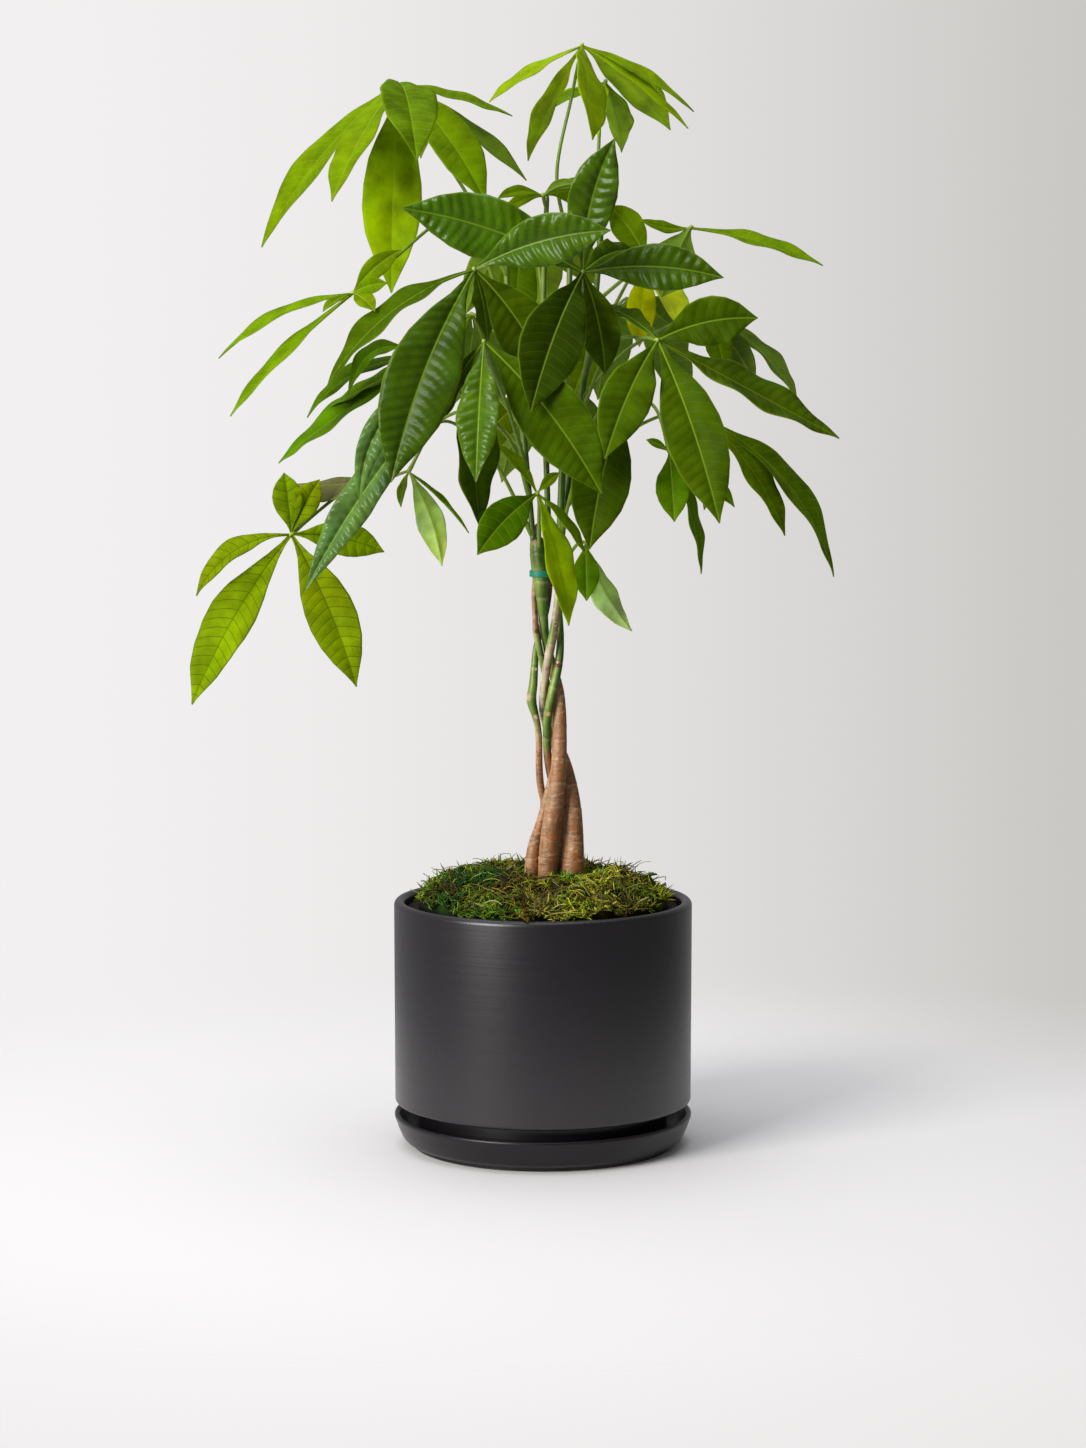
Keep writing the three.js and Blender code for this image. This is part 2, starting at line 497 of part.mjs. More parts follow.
function makeLeaf([name, stem, height, hubPlace, ways, leaflets]) {
  const hub = sightLine(hubPlace);
  const widthRatio = NARROW_LEAVES.includes(name) ? NARROW_WIDTH_RATIO : LEAFLET_WIDTH_RATIO;
  const solids = leaflets.map(([x, y, z, seenWidth, arch, twist]) =>
    leafletSolid(hub, sightLine([x, y, z]), seenWidth, arch, twist, widthRatio));
  solids.push(petioleSolid(stem, height, ways, hub));
  const whole = wasm.Manifold.union(solids).subtract(rooms[stem]);
  addMesh(name, toGeometry(mainBody(whole)), LEAF_GREEN);
}

makeSaucer();
makePot();
makeSoil();
makeMoss();
makeStems();
makeTie();
LEAVES.forEach(makeLeaf);

export default plant;
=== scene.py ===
# %% [markdown]
# # A braided money tree in a matte black pot
#
# A money tree is sold as several young stems plaited into one trunk, under a crown of hand-shaped
# leaves. Here a plain construction model of one, with its pot, saucer and moss, gets its looks.
# The construction model comes first, because every piece below has to sit where it says.

# %% Load the construction model
import math
from functools import cache

import bpy
import numpy as np
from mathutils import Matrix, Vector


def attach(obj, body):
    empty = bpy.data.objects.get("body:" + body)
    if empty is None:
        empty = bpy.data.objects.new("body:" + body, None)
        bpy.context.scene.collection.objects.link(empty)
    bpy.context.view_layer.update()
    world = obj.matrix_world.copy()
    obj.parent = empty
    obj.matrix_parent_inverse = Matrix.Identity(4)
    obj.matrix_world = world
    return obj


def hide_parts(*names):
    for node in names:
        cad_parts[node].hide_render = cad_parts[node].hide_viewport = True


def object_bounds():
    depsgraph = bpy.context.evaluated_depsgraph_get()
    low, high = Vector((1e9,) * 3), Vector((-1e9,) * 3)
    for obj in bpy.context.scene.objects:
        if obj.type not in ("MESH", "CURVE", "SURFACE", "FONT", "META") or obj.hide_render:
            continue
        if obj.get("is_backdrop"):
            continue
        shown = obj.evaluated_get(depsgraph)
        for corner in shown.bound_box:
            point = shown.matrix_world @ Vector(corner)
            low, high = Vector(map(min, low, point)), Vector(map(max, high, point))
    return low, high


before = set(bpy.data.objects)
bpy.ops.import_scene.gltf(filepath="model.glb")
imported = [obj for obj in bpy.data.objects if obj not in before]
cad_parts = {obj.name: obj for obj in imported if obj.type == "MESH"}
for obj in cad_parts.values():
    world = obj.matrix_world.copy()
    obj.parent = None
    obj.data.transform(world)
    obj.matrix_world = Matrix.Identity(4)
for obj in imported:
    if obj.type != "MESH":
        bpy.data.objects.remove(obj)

MM = 0.001
cad_box = [list(corner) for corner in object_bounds()]
print("construction model, metres:", cad_box)

# %% [markdown]
# ## Camera
#
# The plant was photographed by a lens well above the pot's rim, looking down a little. A long lens
# from 2.5 m away keeps the pot's sides upright, as they are in the picture. The leaves further down
# were placed as this eye sees them, so its place is a value that they share.

# %% Set up the camera
EYE_DISTANCE = 2500
EYE_HEIGHT = 574
TILT_DOWN = 5.97
LENS = 85

camera_data = bpy.data.cameras.new("camera")
camera_data.lens = LENS
camera = bpy.data.objects.new("camera", camera_data)
camera.location = (0, -EYE_DISTANCE * MM, EYE_HEIGHT * MM)
camera.rotation_euler = (math.radians(90 - TILT_DOWN), 0, 0)
bpy.context.scene.collection.objects.link(camera)
bpy.context.scene.camera = camera
print("camera", round(camera.location.length, 2), "m from the foot of the saucer")

# %% [markdown]
# ## Colours and nodes
#
# Colours are written as they are picked on a screen, in sRGB hex, and Blender's shaders work in
# linear light, so one function turns them. Materials are built from nodes. One small helper adds a
# node, sets its options and inputs, and makes its links, which keeps each material readable. The
# scale of each pattern comes from the real size of its features, in millimetres.

# %% Helpers for colours and materials
def linear(hex_colour):
    """Turns an sRGB hex value such as "#3a5f05" to linear red, green, blue and alpha."""
    parts = [int(hex_colour[i:i + 2], 16) / 255 for i in (1, 3, 5)]
    return [c / 12.92 if c <= 0.04045 else ((c + 0.055) / 1.055) ** 2.4 for c in parts] + [1.0]


def add_node(tree, kind, settings):
    """Adds a shader node. A key is an input's name or number, or an option; a socket is linked."""
    node = tree.nodes.new("ShaderNode" + kind)
    for key, value in settings.items():
        if isinstance(key, str) and key not in node.inputs:
            setattr(node, key, value)
        elif isinstance(value, bpy.types.NodeSocket):
            tree.links.new(value, node.inputs[key])
        else:
            node.inputs[key].default_value = value
    return node


def scale_for(size):
    """The scale that gives a pattern features about size millimetres across."""
    return 1 / (size * MM)


def new_material(name, settings):
    """A material with its main shader set up; returns the material, its tree and the shader."""
    material = bpy.data.materials.new(name)
    material.use_nodes = True
    shader = material.node_tree.nodes["Principled BSDF"]
    for key, value in settings.items():
        shader.inputs[key].default_value = value
    return material, material.node_tree, shader


# %% [markdown]
# ## Mesh helpers
#
# Stems, leaf stalks and moss are all round tubes along a line, and the pot and saucer are profiles
# turned on a wheel. Curve objects and modifiers could make them, but plain arrays of points are
# quick, give full say over each ring, and let a colour be painted on every point.

# %% Helpers for meshes
def mesh_object(name, vertices, faces, materials, places=None):
    """A smooth mesh from points in millimetres; places gives each face's material."""
    mesh = bpy.data.meshes.new(name)
    mesh.from_pydata((np.asarray(vertices) * MM).tolist(), [], faces)
    for material in materials:
        mesh.materials.append(material)
    if places is not None:
        mesh.polygons.foreach_set("material_index", places)
    mesh.shade_smooth()
    piece = bpy.data.objects.new(name, mesh)
    bpy.context.scene.collection.objects.link(piece)
    return piece


def paint(piece, name, values):
    """Keeps a number or a linear colour on each point, for the material to read by name."""
    values = np.asarray(values, dtype=np.float32)
    if values.ndim == 1:
        piece.data.attributes.new(name, "FLOAT", "POINT").data.foreach_set("value", values)
    else:
        colours = np.ones((len(values), 4), dtype=np.float32)
        colours[:, :3] = values[:, :3]
        layer = piece.data.color_attributes.new(name, "FLOAT_COLOR", "POINT")
        layer.data.foreach_set("color", colours.ravel())


def triangles(piece):
    return sum(len(face.vertices) - 2 for face in piece.data.polygons)


def unit(vectors):
    vectors = np.asarray(vectors, dtype=float)
    return vectors / np.linalg.norm(vectors, axis=-1, keepdims=True)


def ease(low, high, values):
    """0 below low, 1 above high, and smooth between; high may be the smaller."""
    t = np.clip((values - low) / (high - low), 0, 1)
    return t * t * (3 - 2 * t)


def smooth_line(points, steps):
    """Even steps of a smooth curve through points, which never loops or overshoots."""
    points = np.asarray(points, dtype=float)
    ends = np.vstack([2 * points[0] - points[1], points, 2 * points[-1] - points[-2]])
    line = []
    for place in np.linspace(0, len(points) - 1, steps + 1):
        first = min(int(place), len(points) - 2)
        t = place - first
        p0, p1, p2, p3 = ends[first:first + 4]
        gaps = [np.linalg.norm(b - a) ** 0.5 for a, b in ((p0, p1), (p1, p2), (p2, p3))]
        leave = (p1 - p0) / gaps[0] - (p2 - p0) / (gaps[0] + gaps[1]) + (p2 - p1) / gaps[1]
        arrive = (p2 - p1) / gaps[1] - (p3 - p1) / (gaps[1] + gaps[2]) + (p3 - p2) / gaps[2]
        leave = leave * gaps[1]
        arrive = arrive * gaps[1]
        line.append(p1 + leave * t + (3 * (p2 - p1) - 2 * leave - arrive) * t ** 2
                    + (2 * (p1 - p2) + leave + arrive) * t ** 3)
    return np.array(line)


def tubes(lines, radii, sides):
    """Closed round tubes. lines holds a row of points for each tube, radii a size for each point
    or for each point and side. Returns the points, ring by ring, and the faces."""
    lines = np.asarray(lines, dtype=float)
    count, length = lines.shape[:2]
    radii = np.broadcast_to(np.asarray(radii).reshape(count, length, -1), (count, length, sides))
    along = unit(np.gradient(lines, axis=1))
    side = np.cross(along[:, 0], (0.3, 0.9, 0.1))
    angles = 2 * np.pi * np.arange(sides) / sides
    rings = np.empty((count, length, sides, 3))
    for step in range(length):
        ahead = along[:, step]
        side = unit(side - (side * ahead).sum(-1, keepdims=True) * ahead)
        across = np.cross(ahead, side)
        round_it = (np.cos(angles)[:, None] * side[:, None] + np.sin(angles)[:, None] * across[:, None])
        rings[:, step] = lines[:, step, None] + radii[:, step, :, None] * round_it
    index = np.arange(count * length * sides).reshape(count, length, sides)
    after = np.roll(index, -1, axis=2)
    quads = np.stack([index[:, :-1], after[:, :-1], after[:, 1:], index[:, 1:]], axis=-1)
    faces = quads.reshape(-1, 4).tolist()
    faces += index[:, 0, ::-1].tolist()
    faces += index[:, -1].tolist()
    return rings.reshape(-1, 3), faces


def turned(profile, sides, closed):
    """Points and faces of a profile of (radius, height) turned round the middle axis. A closed
    profile joins its end to its start; an open one gets a flat disc at each end."""
    angles = 2 * np.pi * np.arange(sides) / sides
    radius, height = np.array(profile, dtype=float).T
    points = np.stack([radius[:, None] * np.cos(angles), radius[:, None] * np.sin(angles),
                       np.repeat(height[:, None], sides, axis=1)], axis=-1)
    index = np.arange(len(profile) * sides).reshape(len(profile), sides)
    if closed:
        index = np.vstack([index, index[:1]])
    after = np.roll(index, -1, axis=1)
    quads = np.stack([index[:-1], after[:-1], after[1:], index[1:]], axis=-1)
    faces = quads.reshape(-1, 4).tolist()
    if not closed:
        faces += [index[0, ::-1].tolist(), index[-1].tolist()]
    return points.reshape(-1, 3), faces


def stand_for(piece, slot, *nodes):
    """Ties a piece to the plant's body and hides the plain nodes that it replaces. slot is not used."""
    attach(piece, "root")
    if nodes:
        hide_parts(*nodes)


# %% [markdown]
# ## Floor, backdrop and light
#
# The picture was taken in a pale room with soft daylight from the left. A floor that fades out into
# a plain, pale surrounding gives that look and stays plain from every side. It is kept small,
# because the pot mirrors it. The room itself lights the plant too: pale wall behind it, and less
# light from the side where the camera stands, which keeps the black pot black in front with a pale
# sheen along both of its sides.

# %% Make the floor
FLOOR_RADIUS_M = 0.8
FADE_START_M = 0.16
FLOOR_SIDES = 96

# White wall paint rolled on board dries dull, so it takes soft shadows and mirrors nothing
floor_material, tree, shader = new_material("white_painted_board", {
    "Base Color": linear("#f3f1f0"), "Roughness": 0.75})
places = add_node(tree, "TexCoord", {})
flat = add_node(tree, "VectorMath", {"operation": "MULTIPLY", 0: places.outputs["Object"],
                                     1: (1, 1, 0)})
distance = add_node(tree, "VectorMath", {"operation": "LENGTH", 0: flat.outputs["Vector"]})
fade = add_node(tree, "MapRange", {
    "interpolation_type": "SMOOTHSTEP", "Value": distance.outputs["Value"],
    "From Min": FADE_START_M, "From Max": FLOOR_RADIUS_M})
clear = add_node(tree, "BsdfTransparent", {})
mixed = add_node(tree, "MixShader", {"Fac": fade.outputs["Result"], 1: shader.outputs[0],
                                     2: clear.outputs[0]})
tree.links.new(mixed.outputs[0], tree.nodes["Material Output"].inputs["Surface"])

floor_edge = [(FLOOR_RADIUS_M / MM, 0), (FLOOR_RADIUS_M / MM, -5)]
points, faces = turned(floor_edge, FLOOR_SIDES, False)
floor = mesh_object("floor", points, [faces[-2]], [floor_material])
floor.data.flip_normals()
floor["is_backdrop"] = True
print("floor fades out", FLOOR_RADIUS_M, "m from the plant")

# %% Light the room
FRONT_STRENGTH = 0.175
BACK_STRENGTH = 0.4
TO_BRIGHT_SIDE = (-0.5, 0.8, 0.1)
WALL_BRIGHT = "#f2f0f0"
WALL_DIM = "#cac8c5"

world = bpy.data.worlds.new("pale_room")
bpy.context.scene.world = world
world.use_nodes = True
tree = world.node_tree

# What lights the plant: most from behind and from the left, least from in front
room_light = tree.nodes["Background"]
room_light.inputs["Color"].default_value = linear("#f7f7f9")
ways = add_node(tree, "TexCoord", {}).outputs["Generated"]
lit_way = add_node(tree, "VectorMath", {"operation": "DOT_PRODUCT", 0: ways, 1: TO_BRIGHT_SIDE})
strength = add_node(tree, "MapRange", {
    "interpolation_type": "SMOOTHSTEP", "Value": lit_way.outputs["Value"], "From Min": -0.3,
    "From Max": 0.8, "To Min": FRONT_STRENGTH, "To Max": BACK_STRENGTH})
tree.links.new(strength.outputs["Result"], room_light.inputs["Strength"])

# What is seen behind the plant: a wall that dims to the right, and hardly does so at floor height
parts = add_node(tree, "SeparateXYZ", {"Vector": ways})
across = add_node(tree, "MapRange", {"Value": parts.outputs["X"], "From Min": -0.14,
                                     "From Max": 0.15})
dimming = add_node(tree, "Math", {"operation": "POWER", 0: across.outputs["Result"], 1: 1.5})
above_floor = add_node(tree, "MapRange", {"Value": parts.outputs["Z"], "From Min": -0.28,
                                          "From Max": -0.18, "To Min": 0.2})
dim = add_node(tree, "Math", {"operation": "MULTIPLY", 0: dimming.outputs[0],
                              1: above_floor.outputs["Result"]})
wall = add_node(tree, "Mix", {"data_type": "RGBA", 0: dim.outputs[0],
                              6: linear(WALL_BRIGHT), 7: linear(WALL_DIM)})
wall_seen = add_node(tree, "Background", {"Color": wall.outputs[2]})
rays = add_node(tree, "LightPath", {})
both = add_node(tree, "MixShader", {"Fac": rays.outputs["Is Camera Ray"], 1: room_light.outputs[0],
                                    2: wall_seen.outputs[0]})
tree.links.new(both.outputs[0], tree.nodes["World Output"].inputs["Surface"])
bpy.context.scene.view_settings.view_transform = "Standard"
print("room light", FRONT_STRENGTH, "in front of the plant to", BACK_STRENGTH, "behind it")

# %% Light from the window and the ceiling
WINDOW_WATTS = 210
CEILING_WATTS = 50


def add_softbox(name, place, aim, size, watts, colour):
    """A soft light of some width and height at a place in metres, turned to face its aim."""
    data = bpy.data.lights.new(name, "AREA")
    data.shape = "RECTANGLE"
    data.size, data.size_y = size
    data.energy = watts
    data.color = linear(colour)[:3]
    light = bpy.data.objects.new(name, data)
    light.location = place
    towards = light.location.copy()
    towards.xyz = [a - p for a, p in zip(aim, place)]
    light.rotation_euler = towards.to_track_quat("-Z", "Y").to_euler()
    bpy.context.scene.collection.objects.link(light)


add_softbox("window", (-2.8, -2.85, 1.7), (0, 0, 0.35), (2.0, 2.6), WINDOW_WATTS, "#fffdfb")
add_softbox("ceiling", (-0.2, 0.1, 2.8), (0, 0, 0.5), (2.6, 2.6), CEILING_WATTS, "#f6f8ff")
print("window", WINDOW_WATTS, "W from the left, ceiling", CEILING_WATTS, "W from above")

# %% [markdown]
# ## Saucer and pot
#
# Both are thrown on a wheel and covered in a black glaze fired matt: almost black, with a soft wide
# sheen instead of a sharp reflection, and very faint rings left by the wheel. The saucer, fired
# apart, is duller than the pot. Each is a profile turned in 160 steps, with its lip and lower edge
# as arcs, so the edges catch light as round ones.

# %% Matt black glaze
# The real grain of the glaze is a tenth of this size, too fine to show.
GLAZE_GRAIN = 1.111
GLAZE_CLOUD = 71.4
WHEEL_RING_SPACING = 1.6
WHEEL_RING_LENGTH = 166.7
POT_SHEEN = 0.68
SAUCER_SHEEN = 0.34


def black_glaze(name, sheen):
    """Matt black glaze over wheel rings. sheen is how strongly it reflects."""
    material, tree, shader = new_material(name, {"IOR": 1.5, "Specular IOR Level": sheen})
    places = add_node(tree, "TexCoord", {}).outputs["Object"]
    cloud = add_node(tree, "TexNoise", {"Vector": places, "Scale": scale_for(GLAZE_CLOUD),
                                        "Detail": 3.0})
    tint = add_node(tree, "Mix", {"data_type": "RGBA", 0: cloud.outputs["Fac"],
                                  6: linear("#110d11"), 7: linear("#171317")})
    tree.links.new(tint.outputs[2], shader.inputs["Base Color"])
    ring_scale = (scale_for(WHEEL_RING_LENGTH), scale_for(WHEEL_RING_LENGTH),
                  scale_for(WHEEL_RING_SPACING))
    stretched = add_node(tree, "Mapping", {"Vector": places, "Scale": ring_scale})
    rings = add_node(tree, "TexNoise", {"Vector": stretched.outputs["Vector"], "Scale": 1.0,
                                        "Detail": 2.0})
    grain = add_node(tree, "TexNoise", {"Vector": places, "Scale": scale_for(GLAZE_GRAIN)})
    relief = add_node(tree, "Math", {"operation": "MULTIPLY_ADD", 0: grain.outputs["Fac"], 1: 0.5,
                                     2: rings.outputs["Fac"]})
    bump = add_node(tree, "Bump", {"Height": relief.outputs[0], "Strength": 0.12,
                                   "Distance": 0.3 * MM})
    tree.links.new(bump.outputs[0], shader.inputs["Normal"])
    gloss = add_node(tree, "MapRange", {"Value": rings.outputs["Fac"], "To Min": 0.29,
                                        "To Max": 0.37})
    tree.links.new(gloss.outputs["Result"], shader.inputs["Roughness"])
    return material


POT_GLAZE = black_glaze("matt_black_glaze", POT_SHEEN)
SAUCER_GLAZE = black_glaze("dull_black_glaze_of_the_saucer", SAUCER_SHEEN)
print("glaze: wheel rings about", WHEEL_RING_SPACING, "mm apart")

# %% Turn the saucer and the pot
POT_RADIUS = 110
POT_WALL = 8
POT_TOP = 183
POT_TAPER = 0.3
POT_FOOT_Z = 8
FOOT_RADIUS = 92
FOOT_WIDTH = 8
BODY_UNDERSIDE = 32.2
LOWER_EDGE_RADIUS = 3
DRAIN_RADIUS = 7
SAUCER_RADIUS = 110.2
SAUCER_BASE_RADIUS = 97.4
SAUCER_RIM_Z = 24.2
WALL_START = BODY_UNDERSIDE + LOWER_EDGE_RADIUS
POT_FLOOR = BODY_UNDERSIDE + POT_WALL
RECESS_TOP = 26
ROUND_SIDES = 160


def arc(radius, height, size, start, end, steps):
    """Part of a profile: an arc about (radius, height), from one angle to another in degrees."""
    angles = np.radians(np.linspace(start, end, steps + 1))
    return [(radius + size * math.cos(a), height + size * math.sin(a)) for a in angles]


def saucer_profile():
    """From the foot up the outside, over the rim and down the inside to where the pot stands."""
    bowl = [
        (SAUCER_BASE_RADIUS + 3.6, 3.8), (SAUCER_BASE_RADIUS + 6.4, 6.4), (SAUCER_RADIUS - 3.6, 12),
        (SAUCER_RADIUS - 1.4, 18), (SAUCER_RADIUS, SAUCER_RIM_Z - 1.8),
        (SAUCER_RADIUS - 0.5, SAUCER_RIM_Z - 0.5), (SAUCER_RADIUS - 1.8, SAUCER_RIM_Z),
        (SAUCER_RADIUS - 3.4, SAUCER_RIM_Z - 0.8), (SAUCER_RADIUS - 5.2, 19.5),
        (SAUCER_RADIUS - 8.7, 13), (SAUCER_RADIUS - 13.7, POT_FOOT_Z),
    ]
    foot = [(SAUCER_BASE_RADIUS - 0.8, 0), (SAUCER_BASE_RADIUS, 0.8), (SAUCER_BASE_RADIUS, 2.8)]
    return foot + smooth_line(bowl, 60).tolist()


def pot_profile():
    """Round the whole section: drain hole, foot, outside, lip, inside and floor."""
    lip = POT_WALL / 2
    inside = POT_RADIUS - POT_WALL
    recess = FOOT_RADIUS - FOOT_WIDTH
    return [
        (DRAIN_RADIUS, RECESS_TOP), (recess, RECESS_TOP), (recess, POT_FOOT_Z),
        (FOOT_RADIUS, POT_FOOT_Z), (FOOT_RADIUS, BODY_UNDERSIDE),
        *arc(POT_RADIUS - POT_TAPER - LOWER_EDGE_RADIUS, WALL_START, LOWER_EDGE_RADIUS, -90, 0, 8),
        *arc(POT_RADIUS - lip, POT_TOP - lip, lip, 0, 180, 16),
        (inside - 2, POT_FLOOR + 8), (inside - 8, POT_FLOOR), (DRAIN_RADIUS, POT_FLOOR),
    ]


saucer = mesh_object("glazed_saucer", *turned(saucer_profile(), ROUND_SIDES, False), [SAUCER_GLAZE])
pot = mesh_object("glazed_pot", *turned(pot_profile(), ROUND_SIDES, True), [POT_GLAZE])
for piece in (saucer, pot):
    piece.data.set_sharp_from_angle(angle=math.radians(40))
stand_for(saucer, "ceramic", "saucer")
stand_for(pot, "ceramic", "pot")
print("pot", triangles(pot), "triangles, saucer", triangles(saucer))

# %% [markdown]
# ## Soil
#
# Peat-based potting soil fills the pot under the moss and shows only as a dark gap round the edge.
# Its plain solid already has the right shape, so it keeps it and gets a crumbly brown-black finish.

# %% Potting soil
CRUMB = 2.5

peat, tree, shader = new_material("damp_peat_soil", {"Roughness": 0.95, "IOR": 1.4})
places = add_node(tree, "TexCoord", {}).outputs["Object"]
crumbs = add_node(tree, "TexVoronoi", {"Vector": places, "Scale": scale_for(CRUMB)})
tint = add_node(tree, "Mix", {"data_type": "RGBA", 0: crumbs.outputs["Distance"],
                              6: linear("#120d09"), 7: linear("#33251a")})
tree.links.new(tint.outputs[2], shader.inputs["Base Color"])
bump = add_node(tree, "Bump", {"Height": crumbs.outputs["Distance"], "Distance": 2 * MM})
tree.links.new(bump.outputs[0], shader.inputs["Normal"])
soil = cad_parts["soil"]
soil.data.materials.clear()
soil.data.materials.append(peat)
print("soil crumbs about", CRUMB, "mm")

# %% [markdown]
# ## The plaited trunk
#
# Five young stems are plaited while they are soft. Their feet have grown a thin brown bark with fine
# rings, and higher up the skin is still green, or a weathered tan. Old leaf stalks leave a ring and
# a scar. Each stem is a tube along the same line as its plain solid, with the rings as real swellings.

# %% Lines of the stems
STEM_FOOT_Z = 92
STEMS = {
    "stem_right": [
        (24, 2, STEM_FOOT_Z, 8), (23, 1, 150, 9), (22, 0, 203, 8.9), (22.6, 1, 225, 7.6),
        (21.5, 3, 250, 6.6), (19, 6, 268, 5.8), (14.5, 12, 285, 5), (9, 14.5, 297, 4.4),
        (3.4, 13.5, 310, 3.8), (0.4, 7.5, 322, 3.2), (0.4, -1, 336, 2.9), (2, -6, 350, 3),
        (4.5, -7, 365, 3.3), (7.5, -7, 380, 3.2), (9.8, -5, 395, 3), (11.4, -2, 410, 2.8),
        (12, 0, 432, 2.8), (13, 2, 470, 2.7), (15, 5, 530, 2.5), (18, 8, 600, 2.3),
        (21, 10, 690, 1.9),
    ],
    "stem_middle": [
        (1, -6, STEM_FOOT_Z, 6.4), (2, -6, 150, 7), (3.2, -6, 205, 6.9), (5, -7, 228, 7),
        (7.8, -7.5, 250, 6.9), (10.3, -7, 268, 6.1), (11.6, -6, 285, 5.6), (12.3, -4.5, 302, 5.3),
        (12.4, -2, 320, 4.8), (11, 1.5, 337, 4.3), (7.5, 5, 352, 3.7), (4, 5.5, 365, 3.3),
        (1.5, 3.5, 378, 3.1), (0.2, 1, 392, 3.6), (-0.5, 0, 405, 4.3), (-1.8, -0.6, 418, 5.6),
        (-2.6, -0.6, 430, 6.3), (-3.4, -0.6, 441, 6.3), (-3.8, -0.6, 448, 5.4),
        (-3.8, -0.6, 450, 2.6), (-3.8, -0.6, 460, 2.3),
    ],
    "stem_left": [
        (-11, -2, STEM_FOOT_Z, 5.3), (-10, -2, 150, 5.5), (-8.4, -2, 207, 5.2),
        (-6.5, -0.8, 222, 4.6), (-1.4, 2.6, 240, 3.6), (2.6, 5.5, 256, 3.1), (6, 5, 270, 2.7),
        (8.2, 4.5, 279, 2.5), (10, 4.8, 291, 2.4), (9.5, 5.2, 305, 2.4), (7.2, 5.2, 320, 2.4),
        (4, 7.2, 337, 2.4), (1.6, 5, 348, 2.4), (-0.4, 2, 358, 2.4), (-3, 0, 370, 2.4),
        (-5, -0.6, 381, 2.6), (-5.6, -1.4, 391, 2.1), (-6.2, 2, 400, 2), (-6.4, 5.6, 410, 2),
        (-5.6, 9.2, 423, 2), (-8, 11, 455, 2.2), (-13, 14, 510, 2.4), (-19, 18, 570, 2.3),
        (-25, 20, 620, 2.2), (-30, 20, 690, 1.9),
    ],
    "stem_slim_left": [
        (-2, 15, STEM_FOOT_Z, 4.2), (-2, 15, 150, 4.5), (-2, 14, 205, 4.2), (0.5, 13, 238, 3.2),
        (0.6, 12, 254, 2.8), (-1.3, 9.5, 263, 2.7), (-2.4, 6.5, 272, 2.7), (-2.9, 3, 286, 2.5),
        (-2.9, 1.4, 300, 2.4), (-3.7, 1.2, 310, 2.4), (-5.6, 0.8, 319, 2.7), (-8.4, 0, 330, 3.7),
        (-7.2, 0, 342, 3.2), (-6.2, 3, 355, 2.7), (-5.2, 6.4, 367, 2.4), (-2, 8.8, 380, 2.2),
        (2.3, 9, 395, 2.3), (4.5, 8, 409, 2.2), (5.2, 7.6, 424, 2.1), (4, 10, 455, 2.2),
        (2, 12, 520, 2.2), (0, 14, 590, 2.1), (1, 12, 650, 2), (3, 10, 700, 1.8),
    ],
    "stem_slim_right": [
        (16, 19, STEM_FOOT_Z, 5), (15, 19, 150, 5.4), (13.5, 19, 205, 5.1), (12, 17, 240, 4.4),
        (9.6, 14.5, 258, 3.8), (6.6, 11.4, 270, 3.1), (4.7, 9.4, 279, 3.0), (3.2, 3, 292, 3.0),
        (2.9, -3, 306, 3), (3.7, -6.2, 320, 3.3), (7, -7.2, 338, 3.2), (10, -6, 350, 3.2),
        (12, -3, 362, 3), (12.7, 1, 375, 2.7), (12.2, 5, 388, 2.6), (11.2, 8, 400, 2.5),
        (12, 10, 430, 2.6), (17, 13, 480, 2.6), (26, 18, 540, 2.5), (36, 22, 600, 2.3),
        (44, 24, 690, 1.9),
    ],
}

# Heights of the rings that old leaves left, as seen from the front; above these they are even
STEM_RINGS = {
    "stem_right": [212, 230, 249, 268, 287, 322, 354, 370, 387, 411],
    "stem_middle": [214, 229, 243, 257, 269, 288, 300, 312, 331, 352, 371, 390, 405, 417, 427, 437],
    "stem_left": [213, 226, 243, 262, 285, 312, 345, 363, 381, 395, 418],
    "stem_slim_left": [222, 247, 273, 289, 304, 318, 334, 353, 372, 399, 416],
    "stem_slim_right": [221, 246, 268, 287, 303, 321, 339, 357, 379, 402],
}
RINGS_FROM = 445
RING_SPACING = 31

# Colours up each stem: (height, painted light on the side to the window, painted shade on the far side)
BARK = ("#b98d66", "#93643a")
LOW_BARK = ("#b0855f", "#744927")
TAN = ("#e0d0b0", "#96815c")
SKIN = ("#8aa04a", "#3b6014")
YOUNG_SKIN = ("#9ab24c", "#5f8422")
STUB = ("#1a1611", "#14120f")
STEM_COLOURS = {
    "stem_right": [(195, *LOW_BARK), (215, *BARK), (290, *BARK), (318, *TAN), (345, *TAN),
                   (365, "#d8c8ac", "#8f8a58"), (374, "#8aa456", "#8d7450"), (386, "#6f9438", "#8a6f4a"),
                   (391, *TAN), (412, "#d3cfa2", "#93a35c"), (450, *SKIN), (690, *YOUNG_SKIN)],
    "stem_middle": [(195, *LOW_BARK), (215, *BARK), (340, *BARK), (365, *SKIN), (447, *SKIN),
                    (449, *STUB), (460, *STUB)],
    "stem_left": [(195, *LOW_BARK), (215, *BARK), (300, *BARK), (330, *SKIN), (370, *SKIN),
                  (378, "#b9b27c", "#5f6a30"), (384, "#c3a982", "#735338"), (418, "#b79c76", "#6b4c32"),
                  (430, *SKIN), (690, *YOUNG_SKIN)],
    "stem_slim_left": [(195, *LOW_BARK), (215, *BARK), (298, *BARK), (306, "#c2b184", "#83783f"),
                       (316, "#b9ab74", "#6c7a34"), (320, *SKIN), (362, *SKIN), (378, "#8f7450", "#5b432c"),
                       (425, "#8f7450", "#5b432c"), (450, *SKIN), (700, *YOUNG_SKIN)],
    "stem_slim_right": [(195, *LOW_BARK), (215, *BARK), (291, *BARK), (297, *SKIN), (480, *SKIN),
                        (690, *YOUNG_SKIN)],
}

